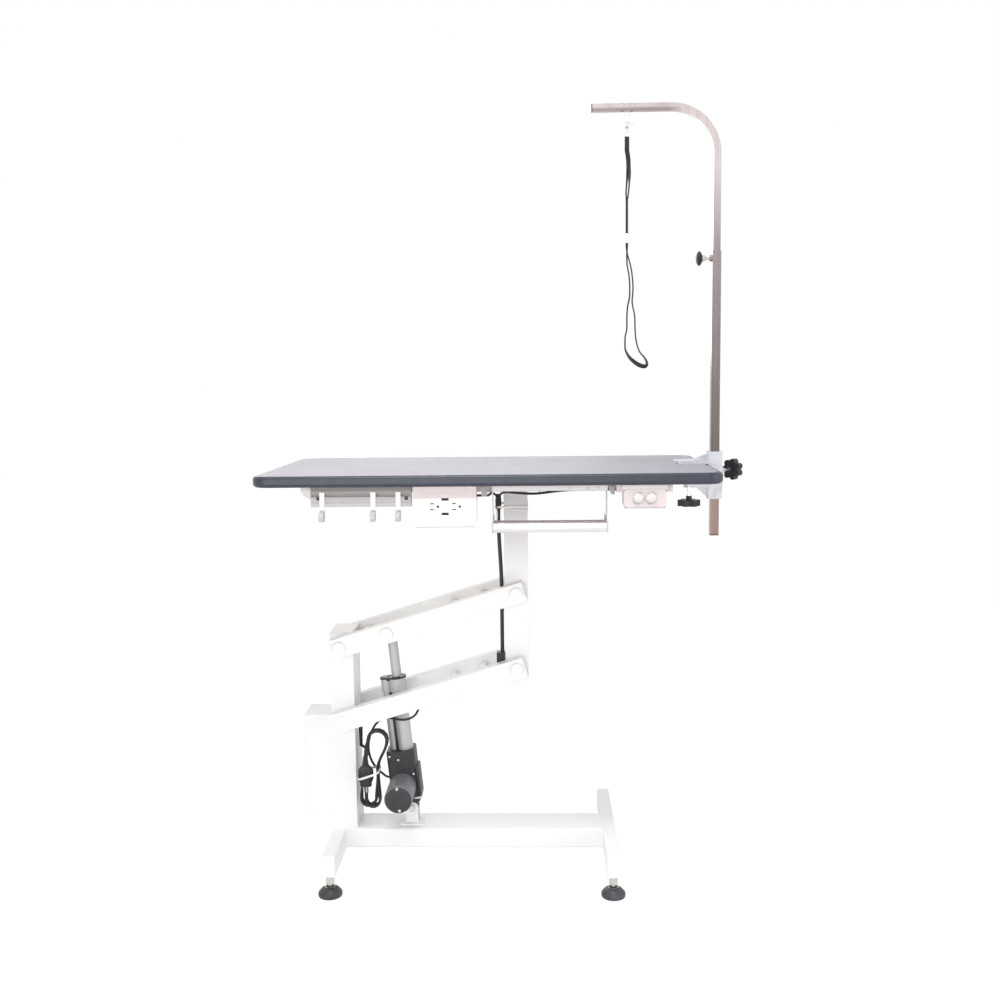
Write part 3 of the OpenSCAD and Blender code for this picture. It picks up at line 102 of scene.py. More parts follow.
class Finish:
    """A node material: one Principled shader with its textures in object coordinates."""

    made = {}

    def __init__(self, name, color, roughness, metallic=0.0, **sockets):
        self.mat = bpy.data.materials.new(name)
        self.mat.use_nodes = True
        self.tree = self.mat.node_tree
        self.shader = self.tree.nodes["Principled BSDF"]
        self.place = self.tree.nodes.new("ShaderNodeTexCoord").outputs["Object"]
        self.set("Base Color", (*color, 1))
        self.set("Roughness", roughness)
        self.set("Metallic", metallic)
        for socket, value in sockets.items():
            self.set(socket.replace("_", " "), value)
        Finish.made[name] = self.mat

    def set(self, socket, value):
        """Gives one of the shader's sockets a value."""
        self.shader.inputs[socket].default_value = value

    def join(self, source, target):
        """Links a node's output to an input."""
        self.tree.links.new(source, target)

    def node(self, kind, values=None, **attributes):
        """A node with its attributes and its inputs, each a value or another node's output."""
        node = self.tree.nodes.new(kind)
        for name, value in attributes.items():
            setattr(node, name, value)
        for name, value in (values or {}).items():
            if isinstance(value, bpy.types.NodeSocket):
                self.join(value, node.inputs[name])
            else:
                node.inputs[name].default_value = value
        return node

    def axis(self, index):
        """The object coordinate along X, Y or Z."""
        return self.node("ShaderNodeSeparateXYZ", {"Vector": self.place}).outputs[index]

    def noise(self, scale, detail=3.0, roughness=0.5):
        """A noise of one scale, or of three scales along the three axes."""
        place = self.place
        if isinstance(scale, tuple):
            place = self.node("ShaderNodeMapping", {"Vector": place, "Scale": scale}).outputs["Vector"]
            scale = 1.0
        values = {"Vector": place, "Scale": scale, "Detail": detail, "Roughness": roughness}
        return self.node("ShaderNodeTexNoise", values).outputs["Fac"]

    def math(self, operation, a, b=0.0, c=0.0):
        """The result of a sum on values or outputs."""
        return self.node("ShaderNodeMath", {0: a, 1: b, 2: c}, operation=operation).outputs[0]

    def remap(self, value, low, high, to_low=0.0, to_high=1.0):
        """A value brought from one range to another, and held inside it."""
        values = {"Value": value, "From Min": low, "From Max": high, "To Min": to_low, "To Max": to_high}
        return self.node("ShaderNodeMapRange", values).outputs["Result"]

    def mix(self, amount, a, b):
        """A colour between two colours."""
        node = self.node("ShaderNodeMix", data_type="RGBA")
        for index, value in ((0, amount), (6, a), (7, b)):
            if isinstance(value, bpy.types.NodeSocket):
                self.join(value, node.inputs[index])
            else:
                node.inputs[index].default_value = value if index == 0 else (*value, 1)
        return node.outputs[2]

    def color(self, source):
        """Colours the finish by a node's output."""
        self.join(source, self.shader.inputs["Base Color"])

    def rough(self, source):
        """Roughens the finish by a node's output."""
        self.join(source, self.shader.inputs["Roughness"])

    def bump(self, height, distance, strength=1.0):
        """Adds relief, its height in metres."""
        values = {"Height": height, "Distance": distance, "Strength": strength}
        self.join(self.node("ShaderNodeBump", values).outputs["Normal"], self.shader.inputs["Normal"])


def shade(color, factor):
    """A colour made darker or brighter by a factor."""
    return tuple(min(1.0, c * factor) for c in color)


def plain_finish(name, color, roughness, metallic=0.0, mottle=None, gloss=None, grain=None, **sockets):
    """A finish made of noises alone; its colour is three shares or the name of a setting.

    Each noise has its scale and its detail first. A mottle goes on with the noise's lowest and
    highest values that count and with the shades of the colour at those two, a gloss with the same
    two values and the roughness at each, and a grain with its height in metres and its strength.
    """
    if isinstance(color, str):
        color = getattr(settings(), color)
    f = Finish(name, color, roughness, metallic, **sockets)
    if mottle:
        scale, detail, low, high, *shades = mottle
        f.color(f.mix(f.remap(f.noise(scale, detail), low, high), *(shade(color, s) for s in shades)))
    if gloss:
        f.rough(f.remap(f.noise(*gloss[:2]), *gloss[2:]))
    if grain:
        f.bump(f.noise(*grain[:2]), *grain[2:])


def plain_plastics():
    """Moulded plastics and rubbers, and the unlit inside of a socket."""
    plain_finish("gloss_white", "plate_color", 0.25, mottle=(30, 3, 0.4, 0.7, 1, 0.975),
        grain=(420, 2, 0.00002, 0.4), Specular_IOR_Level=0.5)
    plain_finish("warm_plastic", "box_color", 0.34, mottle=(24, 3, 0.4, 0.7, 1, 0.97),
        grain=(600, 2, 0.00003, 0.4))
    plain_finish("satin_black", "black_color", 0.42, mottle=(60, 4, 0.4, 0.75, 1, 2.1),
        gloss=(240, 2, 0.3, 0.7, 0.34, 0.52), grain=(1500, 2, 0.00005, 0.5), Specular_IOR_Level=0.45)
    plain_finish("housing_plastic", "housing_color", 0.5, mottle=(34, 5, 0.35, 0.75, 1, 1.35),
        gloss=(90, 3, 0.3, 0.7, 0.42, 0.6), grain=(1300, 3, 0.0001, 0.6))
    plain_finish("cord_rubber", "cord_color", 0.38, mottle=(45, 4, 0.4, 0.75, 1, 2.0),
        gloss=(120, 3, 0.3, 0.7, 0.32, 0.5), grain=(800, 2, 0.00004, 0.4), Specular_IOR_Level=0.5)
    plain_finish("foot_rubber", "black_color", 0.45, mottle=(25, 5, 0.4, 0.75, 2.6, 8),
        grain=(600, 3, 0.00012, 0.5))
    plain_finish("trim_rubber", "trim_color", 0.33, mottle=(9, 4, 0.35, 0.75, 0.9, 1.2),
        gloss=(50, 3, 0.3, 0.7, 0.28, 0.42), grain=((30, 30, 900), 3, 0.00003, 0.4),
        Specular_IOR_Level=0.55)
    plain_finish("nylon_tie", (0.86, 0.86, 0.84), 0.4, grain=(500, 2, 0.00003, 0.4),
        Subsurface_Weight=0.1, Subsurface_Scale=0.002)
    # Near-black for the openings and the gap under the outlet plate: painted shade
    plain_finish("dark_hollow", (0.012, 0.012, 0.013), 0.7, gloss=(300, 2, 0.4, 0.7, 0.6, 0.8))


def plain_metals():
    """Painted and plated metal, and tube and sheet with the lines of their drawing and rolling."""
    plain_finish("grey_paint", (0.36, 0.35, 0.36), 0.45, mottle=(50, 4, 0.4, 0.7, 1, 0.8),
        grain=(800, 2, 0.00005, 0.4))
    plain_finish("motor_coat", "motor_color", 0.46, mottle=(40, 5, 0.35, 0.75, 1, 1.25),
        gloss=(90, 3, 0.3, 0.7, 0.4, 0.55), grain=(1300, 3, 0.00008, 0.6))
    plain_finish("chrome", (0.86, 0.86, 0.87), 0.1, 1.0, gloss=(300, 3, 0.4, 0.8, 0.07, 0.22),
        grain=(500, 2, 0.00001, 0.3))
    plain_finish("zinc", (0.66, 0.64, 0.6), 0.3, 1.0, mottle=(220, 4, 0.4, 0.7, 1, 0.78),
        grain=(700, 2, 0.00003, 0.4))
    drawn = ((900, 900, 6), 4)
    plain_finish("anodised", "tube_color", 0.46, 0.35, mottle=(*drawn, 0.3, 0.7, 0.93, 1.05),
        gloss=(*drawn, 0.3, 0.7, 0.4, 0.52), grain=(*drawn, 0.00002, 0.5))
    rolled = ((5, 700, 700), 3)
    plain_finish("sheet_steel", "sheet_color", 0.26, 0.5, mottle=(*rolled, 0.3, 0.7, 0.93, 1.03),
        gloss=(*rolled, 0.3, 0.7, 0.14, 0.28), grain=(*rolled, 0.000015, 0.4))


def powder_coat():
    """White powder coat: a faint orange peel, grime in patches, and the tabletop's shade above."""
    color = settings().coat_color
    f = Finish("powder_coat", color, 0.42, Specular_IOR_Level=0.4)
    clean = f.mix(f.remap(f.noise(7, 4), 0.35, 0.75), color, shade(color, 0.975))
    shaded = f.remap(f.axis(2), UNDER_Z - 0.3, UNDER_Z - 0.03)
    f.color(f.mix(shaded, clean, (0.72, 0.69, 0.70)))
    f.rough(f.remap(f.noise(18, 3), 0.3, 0.7, 0.36, 0.5))
    f.bump(f.noise(900, 2), 0.00006, 0.5)


def face_plate():
    """The outlet plate's plastic, in the trim's shade along its top."""
    color = settings().plate_color
    f = Finish("face_plate", color, 0.28, Specular_IOR_Level=0.5)
    clean = f.mix(f.remap(f.noise(30, 3), 0.4, 0.7), color, shade(color, 0.975))
    shaded = f.remap(f.axis(2), UNDER_Z - 30 * MM, UNDER_Z - 27 * MM)
    f.color(f.mix(shaded, clean, (0.66, 0.575, 0.57)))
    f.bump(f.noise(420, 2), 0.00002, 0.4)


def button_dome():
    """Satin plastic of the push buttons, a little warm, with painted shade low down and painted light above.
    """
    color = settings().button_color
    f = Finish("button_dome", color, 0.3)
    # Painted shade and light: darker towards the bottom of the buttons, lighter towards their top
    low = f.remap(f.axis(2), UNDER_Z - 44 * MM, UNDER_Z - 30 * MM)
    f.color(f.mix(low, shade(color, 0.82), shade(color, 1.12)))
    f.bump(f.noise(420, 2), 0.00002, 0.4)


def hook_coat():
    """White coat of the hooks, grey below a height on their lower bends."""
    color = settings().coat_color
    f = Finish("hook_coat", color, 0.42)
    grey_tips = f.remap(f.axis(2), UNDER_Z - 58 * MM, UNDER_Z - 54 * MM, 1, 0)
    grey = f.mix(f.remap(f.noise(160, 4), 0.4, 0.7), (0.6, 0.59, 0.58), (0.44, 0.43, 0.43))
    f.color(f.mix(grey_tips, color, grey))
    f.bump(f.noise(700, 2), 0.00005, 0.4)


def rail_aluminium():
    """Mill finish of the hook rail, with lines along it, a few scuffs and the trim's shade above."""
    color = settings().rail_color
    f = Finish("rail_aluminium", color, 0.45, 0.3)
    lines = f.noise((8, 900, 900), 4)
    scuffs = f.remap(f.noise((60, 200, 200), 5, 0.7), 0.62, 0.75)
    shaded = f.remap(f.axis(2), UNDER_Z - 40 * MM, UNDER_Z - 4 * MM)
    tone = f.mix(shaded, shade(color, 1.06), shade(color, 0.4))
    f.color(f.mix(scuffs, tone, shade(color, 0.5)))
    f.rough(f.remap(lines, 0.3, 0.7, 0.38, 0.52))
    f.bump(lines, 0.00003, 0.5)


# Heights between which the painted reflection on the post goes from dark to bright
DARK_REFLECTION_Z, LIGHT_REFLECTION_Z = 1.1, 1.6


def polished_steel():
    """Polished stainless tube: lines along it, warm streaks, and painted reflections, glints, light and
    shade.
    """
    color = settings().steel_color
    dark_reflection = settings().dark_reflection_color
    f = Finish("polished_steel", color, 0.16, 1.0)
    x, height = f.axis(0), f.axis(2)
    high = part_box("bent_arm")[1]
    lying = f.remap(x, high.x - 0.09, high.x - 0.13)
    lying = f.math("MULTIPLY", lying, f.math("GREATER_THAN", height, high.z - 0.12))
    upright = f.noise((700, 700, 14), 3)
    along = f.noise((14, 700, 700), 3)
    standing = f.math("SUBTRACT", 1.0, lying)
    grain = f.math("ADD", f.math("MULTIPLY", upright, standing), f.math("MULTIPLY", along, lying))
    streaks = f.noise((95, 95, 2.4), 4, 0.6)
    # Painted reflection: dark on the post low down, lighter higher up and brighter still near its top
    tone = f.mix(f.remap(height, DARK_REFLECTION_Z, LIGHT_REFLECTION_Z), dark_reflection, color)
    tone = f.mix(f.remap(height, LIGHT_REFLECTION_Z, LIGHT_REFLECTION_Z + 0.2), tone, shade(color, 2.1))
    # Painted light and shade on the lying end: a light upper half and a dark lower half
    lower_half = f.remap(height, high.z - 0.014, high.z - 0.008, 1, 0)
    tone = f.mix(lying, tone, f.mix(lower_half, (0.62, 0.55, 0.55), (0.34, 0.27, 0.27)))
    warm = f.mix(0.5, (0.55, 0.42, 0.38), (0.3, 0.26, 0.24))
    # Painted brownish reflection on the post below the tabletop
    tone = f.mix(f.remap(height, UNDER_Z, UNDER_Z - 40 * MM), tone, (0.34, 0.235, 0.21))
    # Painted glints in small spots
    glints = f.remap(f.noise((40, 40, 9), 3, 0.6), 0.66, 0.7, 0, 0.5)
    tone = f.mix(f.remap(streaks, 0.46, 0.7, 0, 0.4), tone, warm)
    f.color(f.mix(glints, tone, (0.8, 0.79, 0.79)))
    f.rough(f.remap(grain, 0.3, 0.7, 0.2, 0.32))
    f.bump(grain, 0.000015, 0.4)


def silver_casting():
    """Silver paint on a rough casting, darker in patches."""
    color = settings().cast_color
    f = Finish("silver_casting", color, 0.38, 0.72)
    pits = f.noise(260, 4, 0.6)
    f.color(f.mix(f.remap(f.noise(40, 4), 0.45, 0.7), color, shade(color, 0.82)))
    f.rough(f.remap(pits, 0.3, 0.7, 0.3, 0.48))
    f.bump(pits, 0.00025, 0.45)


def mat_rubber():
    """Ribbed rubber mat: rows of small raised pads, paler on their tops."""
    color = settings().mat_color
    f = Finish("mat_rubber", color, 0.6, Specular_IOR_Level=0.4)
    waves = 2 * math.pi / settings().mat_pitch
    rows = [f.math("SINE", f.math("MULTIPLY", f.axis(k), waves)) for k in (0, 1)]
    pads = f.remap(f.math("MULTIPLY", rows[0], rows[1]), -0.15, 0.35)
    grain = f.noise(900, 3)
    tone = f.mix(f.remap(f.noise(6, 4), 0.35, 0.7), shade(color, 0.93), shade(color, 1.06))
    f.color(f.mix(f.math("MULTIPLY", pads, 0.55), tone, shade(color, 1.5)))
    f.rough(f.remap(pads, 0, 1, 0.66, 0.42))
    f.bump(f.math("ADD", pads, f.math("MULTIPLY", grain, 0.18)), 0.0005, 0.7)


def plywood():
    """The board seen from below: sealed plywood with its grain along the table."""
    color = settings().board_color
    f = Finish("plywood", color, 0.5)
    grain = f.noise((3.5, 55, 55), 5, 0.6)
    pores = f.remap(f.noise((30, 900, 900), 3, 0.6), 0.62, 0.72)
    tone = f.mix(f.remap(grain, 0.35, 0.68), shade(color, 1.12), shade(color, 0.72))
    f.color(f.mix(f.math("MULTIPLY", pores, 0.5), tone, shade(color, 0.45)))
    f.bump(pores, 0.0001, -0.4)


def woven(name, color, pitch, depth):
    """Webbing woven across and along; its coordinates are metres along and across the strap."""
    f = Finish(name, color, 0.62, Specular_IOR_Level=0.3, Sheen_Weight=0.25, Sheen_Roughness=0.4)
    axes = f.node("ShaderNodeSeparateXYZ", {"Vector": f.node("ShaderNodeUVMap").outputs["UV"]}).outputs
    across = f.math("MULTIPLY", axes[0], 2 * math.pi / pitch)
    along = f.math("MULTIPLY", axes[1], 2 * math.pi / pitch)
    ribs = f.math("ABSOLUTE", f.math("SINE", f.math("ADD", along, f.math("SINE", across))))
    warp = f.math("ABSOLUTE", f.math("SINE", across))
    weave = f.math("MULTIPLY", f.math("ADD", ribs, warp), 0.5)
    fuzz = f.noise(1600, 3)
    tone = f.mix(f.remap(f.noise(26, 4), 0.35, 0.75), shade(color, 0.8), shade(color, 2.0))
    f.color(f.mix(f.remap(weave, 0.3, 0.9), shade(color, 0.5), tone))
    f.bump(f.math("ADD", weave, f.math("MULTIPLY", fuzz, 0.3)), depth, 0.8)


def webbing():
    """The noose's black webbing."""
    woven("webbing", settings().strap_color, 0.0016, 0.0003)


FINISHES = (plain_plastics, plain_metals, powder_coat, face_plate, button_dome, hook_coat,
    rail_aluminium, polished_steel, silver_casting, mat_rubber, plywood, webbing)

# The finish of each CAD node that stays, and the width of its softened edges in millimetres
COAT = "powder_coat"
FINISH_ROWS = (
    (COAT, 1.6, "crossbar left_leg right_leg base_column"),
    (COAT, 1.4, "near_lower_arm far_lower_arm near_upper_arm far_upper_arm"),
    (COAT, 1.2, "table_column"),
    (COAT, 1.0, "tube_caps control_box control_cover"),
    (COAT, 0.8, "actuator_bracket lower_pins upper_pins table_frame"),
    (COAT, 0.6, "outlet_box"),
    (COAT, 0.5, "lower_arm_fittings upper_arm_fittings"),
    (COAT, 0.3, "tray_hanger"),
    ("hook_coat", 0.5, "hook_left hook_middle hook_right"),
    ("warm_plastic", 0.8, "button_box"),
    ("button_dome", 0.3, "button_up button_down"),
    ("face_plate", 0.4, "outlet_plate"),
    ("zinc", 0.4, "bracket_bolt"),
    ("zinc", 0.3, "lead_screw"),
    ("satin_black", 1.2, "star_knob clamp_screw"),
    ("satin_black", 0.8, "cable_clamp"),
    ("satin_black", 0.6, "actuator_collar thumb_knob"),
    ("satin_black", 0.4, "cord_gland"),
    ("foot_rubber", 0.5, "foot_front_left foot_front_right foot_rear_left foot_rear_right"),
    ("housing_plastic", 0.8, "gear_housing"),
    ("motor_coat", 1.0, "motor"),
    ("anodised", 0.3, "outer_tube"),
    ("anodised", 0.4, "push_rod"),
    ("rail_aluminium", 0.3, "hook_rail"),
    ("plywood", 0.3, "board"),
    ("mat_rubber", 0.4, "table_mat"),
    ("trim_rubber", 0, "edge_trim"),
    ("sheet_steel", 0.2, "tool_tray"),
    ("silver_casting", 0.8, "clamp_body"),
    ("polished_steel", 0.9, "post bent_arm"),
    ("chrome", 0.3, "noose_slider"),
    ("chrome", 0, "eye_bolt snap_hook"),
)
NODE_FINISHES = {node: (finish, edge) for finish, edge, nodes in FINISH_ROWS for node in nodes.split()}


# The drive's own axes: its lower pivot, and the way along its rod
DRIVE_PIVOT = spot(-218, 0, 153)
DRIVE_WAY = Vector(next(j for j in frame["joints"] if j["name"] == "rod_slide")["axis"]).normalized()
DRIVE_SIDE = Vector((0, 1, 0)).cross(DRIVE_WAY)
DRIVE = Matrix((DRIVE_SIDE, Vector((0, 1, 0)), DRIVE_WAY)).transposed().to_4x4()
DRIVE.translation = DRIVE_PIVOT
COLLAR_FLANGE = 344 * MM
FOOT_BELL = 25.5 * MM
KNOB_WAY = Vector((1, 1, 0)).normalized()
KNOB_HUB = 62 * MM
CLAMP_HUB = 27 * MM
THUMB_HUB = 17 * MM


def on_collar_skirt(p):
    """Below the collar's flange, on the skirt round the tube."""
    return (p - DRIVE_PIVOT).dot(DRIVE_WAY) < COLLAR_FLANGE


def on_foot_nut(p):
    """Above the rubber bell, on the nut and the stud."""
    return p.z > FOOT_BELL


def on_star_stud(p):
    """Between the clamp's sleeve and the knob's hub."""
    post = middle("post")
    return (p - post).dot(KNOB_WAY) < KNOB_HUB


def on_clamp_shaft(p):
    """Above the lower knob's hub."""
    return p.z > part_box("clamp_screw")[0].z + CLAMP_HUB


def on_thumb_shaft(p):
    """Between the post and the thumb knob's hub."""
    return p.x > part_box("thumb_knob")[0].x + THUMB_HUB


# Nodes with a second finish on some of their faces, and which faces those are
SECOND_FINISHES = {"actuator_collar": ("anodised", on_collar_skirt), "star_knob": ("zinc", on_star_stud),
    "clamp_screw": ("chrome", on_clamp_shaft), "thumb_knob": ("zinc", on_thumb_shaft)}
SECOND_FINISHES.update({name: ("zinc", on_foot_nut) for name in NODE_FINISHES if name.startswith("foot_")})


# Metres below which corners count as one, and degrees up to which faces are flat and edges are left
WELD_GAP, FLAT_ANGLE, EDGE_ANGLE = 0.00001, 0.6, 38


def dress_node(name, finish, edge):
    """Gives a CAD node its finishes, smooth shading and softened edges; its own mesh stays as it is."""
    node = frame["nodes"][name]
    node.data.materials.clear()
    node.data.materials.append(Finish.made[finish])
    if name in SECOND_FINISHES:
        second, picked = SECOND_FINISHES[name]
        node.data.materials.append(Finish.made[second])
        for face in node.data.polygons:
            face.material_index = int(picked(face.center))
    node.data.polygons.foreach_set("use_smooth", [True] * len(node.data.polygons))
    weld = node.modifiers.new("weld", "WELD")
    weld.merge_threshold = WELD_GAP
    flat = node.modifiers.new("flats", "DECIMATE")
    flat.decimate_type = "DISSOLVE"
    flat.angle_limit = math.radians(FLAT_ANGLE)
    flat.delimit = {"MATERIAL"}
    if edge:
        bevel = node.modifiers.new("edges", "BEVEL")
        bevel.width = edge * MM
        bevel.segments = 2
        bevel.limit_method = "ANGLE"
        bevel.angle_limit = math.radians(EDGE_ANGLE)
        bevel.harden_normals = True
        bevel.use_clamp_overlap = True
    normals = node.modifiers.new("normals", "WEIGHTED_NORMAL")
    normals.keep_sharp = True
    normals.weight = 70


# Shapes


class Shape:
    """A mesh put together from turned, swept and extruded forms."""

    def __init__(self):
        self.mesh = bmesh.new()
        self.uv = self.mesh.loops.layers.uv.new("UVMap")

    def add(self, points, faces, place=None, round_edges=0.0, uvs=None):
        """Adds points and their faces, with edges rounded and then set in a place."""
        part = bmesh.new()
        verts = [part.verts.new(p) for p in points]
        layer = part.loops.layers.uv.new("UVMap")
        for corners in faces:
            face = part.faces.new([verts[i] for i in corners])
            if uvs:
                for loop, i in zip(face.loops, corners):
                    loop[layer].uv = uvs[i]
        bmesh.ops.remove_doubles(part, verts=part.verts, dist=1e-7)
        bmesh.ops.recalc_face_normals(part, faces=part.faces)
        if round_edges:
            sharp = [e for e in part.edges if len(e.link_faces) == 2 and e.calc_face_angle() > 0.7]
            bmesh.ops.bevel(part, geom=sharp, offset=round_edges, offset_type="OFFSET", segments=2,
                profile=0.5, affect="EDGES", clamp_overlap=True)
        if place is not None:
            part.transform(place)
        held = bpy.data.meshes.new("part")
        part.to_mesh(held)
        part.free()
        self.mesh.from_mesh(held)
        bpy.data.meshes.remove(held)
        return self

    def turned(self, profile, place=None, steps=40):
        """A profile of (radius, height) in millimetres, turned about Z; a radius of 0 closes an end."""
        points = []
        for r, z in profile:
            points += [(r * MM * math.cos(a), r * MM * math.sin(a), z * MM) for a in turn_angles(steps)]
        return self.add(points, ring_faces(len(profile), steps, closed_ends(profile)), place)

    def slab(self, outline, low, high, soft, place):
        """An outline in X and Y extruded from a low to a high Z, with soft edges, in millimetres."""
        n = len(outline)
        points = [(x * MM, y * MM, z * MM) for z in (low, high) for x, y in outline]
        faces = [list(range(n))[::-1], list(range(n, 2 * n))]
        faces += [[i, (i + 1) % n, n + (i + 1) % n, n + i] for i in range(n)]
        return self.add(points, faces, place, soft * MM)

    def box(self, low, high, soft=0.3, place=None):
        """A block between two corners in millimetres, on the floor's axes or on a place's own."""
        outline = [(low[0], low[1]), (high[0], low[1]), (high[0], high[1]), (low[0], high[1])]
        return self.slab(outline, low[2], high[2], soft, at(0, 0, 0) if place is None else place)

    def lofted(self, rings, place=None, closed=True):
        """Rings of equally many points joined one to the next."""
        n = len(rings[0])
        points = [p for ring in rings for p in ring]
        return self.add(points, ring_faces(len(rings), n, (closed, closed)), place)

    def tube(self, route, radius, steps=12, loop=False):
        """A round tube along a route, its radius a number or a function of the share gone along."""
        sides = carried_sides(route, loop)
        rings = []
        for i, (p, side) in enumerate(zip(route, sides)):
            way = heading(route, i, loop)
            up = way.cross(side)
            r = radius(i / (len(route) - 1)) if callable(radius) else radius
            rings.append([p + r * (math.cos(a) * side + math.sin(a) * up) for a in turn_angles(steps)])
        if loop:
            rings.append(rings[0])
        return self.lofted(rings, closed=not loop)

    def band(self, route, sides, width, thick, loop=False):
        """A flat band along a route, with soft corners and its length and width as coordinates."""
        w, t, c = width / 2, thick / 2, min(thick, width) * 0.3
        section = [(-w, -t + c), (-w + c, -t), (-w / 3, -t), (w / 3, -t), (w - c, -t), (w, -t + c),
            (w, t - c), (w - c, t), (w / 3, t), (-w / 3, t), (-w + c, t), (-w, t - c)]
        points, uvs, gone = [], [], 0.0
        count = len(route)
        for i in range(count + (1 if loop else 0)):
            p, side = route[i % count], sides[i % count]
            if i:
                gone += (route[i % count] - route[i - 1]).length
            up = heading(route, i % count, loop).cross(side)
            points += [p + a * side + b * up for a, b in section]
            uvs += [(a + w, gone) for a, b in section]
        ends = (not loop, not loop)
        return self.add(points, ring_faces(count + (1 if loop else 0), len(section), ends), uvs=uvs)

    def piece(self, name, body, finish, smooth=35):
        """Makes the object: its material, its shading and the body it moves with."""
        data = bpy.data.meshes.new(name)
        self.mesh.to_mesh(data)
        self.mesh.free()
        data.polygons.foreach_set("use_smooth", [True] * len(data.polygons))
        data.set_sharp_from_angle(angle=math.radians(smooth))
        data.materials.append(Finish.made[finish])
        made = bpy.data.objects.new(name, data)
        bpy.context.scene.collection.objects.link(made)
        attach(made, body)
        return made


def turn_angles(steps):
    """The angles of equal steps round a circle."""
    return [2 * math.pi * k / steps for k in range(steps)]


def closed_ends(profile):
    """Whether a turned profile needs a face at its first and at its last ring."""
    return (profile[0][0] > 1e-9, profile[-1][0] > 1e-9)


def ring_faces(rings, n, ends):
    """The faces between rings of n points each, and over the ends that are to be closed."""
    faces = []
    for r in range(rings - 1):
        for k in range(n):
            faces.append([r * n + k, r * n + (k + 1) % n, (r + 1) * n + (k + 1) % n, (r + 1) * n + k])
    if ends[0]:
        faces.append(list(range(n))[::-1])
    if ends[1]:
        faces.append(list(range((rings - 1) * n, rings * n)))
    return faces


def heading(route, i, loop=False):
    """The way that a route goes at one of its points."""
    n = len(route)
    if loop:
        return (route[(i + 1) % n] - route[i - 1]).normalized()
    return (route[min(i + 1, n - 1)] - route[max(i - 1, 0)]).normalized()


def carried_sides(route, loop=False, start=Vector((0, 1, 0))):
    """One side direction for each point of a route, carried along without twist."""
    sides = []
    side = start
    for i in range(len(route)):
        way = heading(route, i, loop)
        side = (side - side.dot(way) * way).normalized()
        sides.append(side.copy())
    return sides


def smoothed(points, steps):
    """A smooth route through points, with a number of steps between each two."""
    route = []
    n = len(points)
    for i in range(n - 1):
        a, b, c, d = (points[min(max(j, 0), n - 1)] for j in (i - 1, i, i + 1, i + 2))
        for k in range(steps):
            t = k / steps
            route.append(0.5 * (2 * b + (c - a) * t + (2 * a - 5 * b + 4 * c - d) * t * t
                + (3 * b - a - 3 * c + d) * t ** 3))
    return route + [points[-1]]


def spaced(route, step):
    """The route again, with points one step apart."""
    made, need = [route[0]], step
    for a, b in zip(route, route[1:]):
        long = (b - a).length
        while long >= need > 0:
            a = a + (b - a) * (need / long)
            long = (b - a).length
            made.append(a)
            need = step
        need -= long
    if (made[-1] - route[-1]).length > 0.3 * step:
        made.append(route[-1])
    return made


def round_outline(w, h, r, steps=6):
    """A rectangle about the origin with round corners."""
    points = []
    for k, (sx, sy) in enumerate(((1, 1), (-1, 1), (-1, -1), (1, -1))):
        for i in range(steps + 1):
            a = math.pi / 2 * (k + i / steps)
            points.append((sx * (w / 2 - r) + r * math.cos(a), sy * (h / 2 - r) + r * math.sin(a)))
    return points


def facing(point, way, turn=0.0):
    """A place whose Z axis points a given way, turned about it."""
    spin = Matrix.Rotation(turn, 4, "Z")
    return Matrix.Translation(point) @ Vector(way).to_track_quat("Z", "Y").to_matrix().to_4x4() @ spin


def cross_recess(a, long, wide):
    """Radius of a plus-shaped recess in a screw's head, at an angle."""
    c, s = max(abs(math.cos(a)), 1e-6), max(abs(math.sin(a)), 1e-6)
    return max(min(long / c, wide / s), min(long / s, wide / c))


def screw_head(shape, place, r, high):
    """A domed head with a cross sunk in it, its radius and height in millimetres."""
    r, high = r * MM, high * MM
    steps = 48
    floor = high - 0.55 * high
    rings = []

    def add_ring(radius, level):
        rings.append([(radius(a) * math.cos(a), radius(a) * math.sin(a), level) for a in turn_angles(steps)])

    for share, level in ((1.0, 0.0), (1.0, 0.25), (0.93, 0.6), (0.8, 0.86), (0.7, 0.97)):
        add_ring(lambda a: share * r, level * high)
    for factor, level in ((1.0, high), (0.94, floor)):
        add_ring(lambda a: factor * cross_recess(a, 0.58 * r, 0.13 * r), level)
    rings.append([(0, 0, floor)] * steps)
    points = [p for ring in rings for p in ring]
    shape.add(points, ring_faces(len(rings), steps, (True, False)), place)


def weld_bead(shape, route, r, loop=True):
    """A painted weld along a seam, with its ripples."""
    def ripple(t):
        return r * (1 + 0.1 * math.sin(2 * math.pi * t * len(route) / 4))
    shape.tube(route, ripple, 8, loop)


# Cords and the webbing. Their routes are the ones that the frame's solids follow.

CORD_R = 3.5
LEAD_R = 3.0
SHEATH_R = 5.0
GLAND_X, GLAND_Z = -348.5, 408
HANK_X, HANK_Y, HANK_Z = -320, -24, 268
HANK_LOOPS, HANK_RINGS = 4, 48
HANK_UP, HANK_DOWN = 78, 82
HANK_TOP_R, HANK_LOW_R, HANK_WAIST = 23, 19, 17
HANK_PITCH = 2 * CORD_R + 0.6
PLUG = (-331, -71, 232)
PLUG_H, RELIEF_H = 54, 28
NOSE_H, SLEEVE_H = 26, 58


def eased(v):
    """A soft step from 0 to 1."""
    return (1 - math.cos(math.pi * min(1, max(0, v)))) / 2


def fan(t):
    """How far a turn of the hank stands out from the others, 0 to 1."""
    return (1 + math.sin(math.radians(180 * t + 40))) / 2


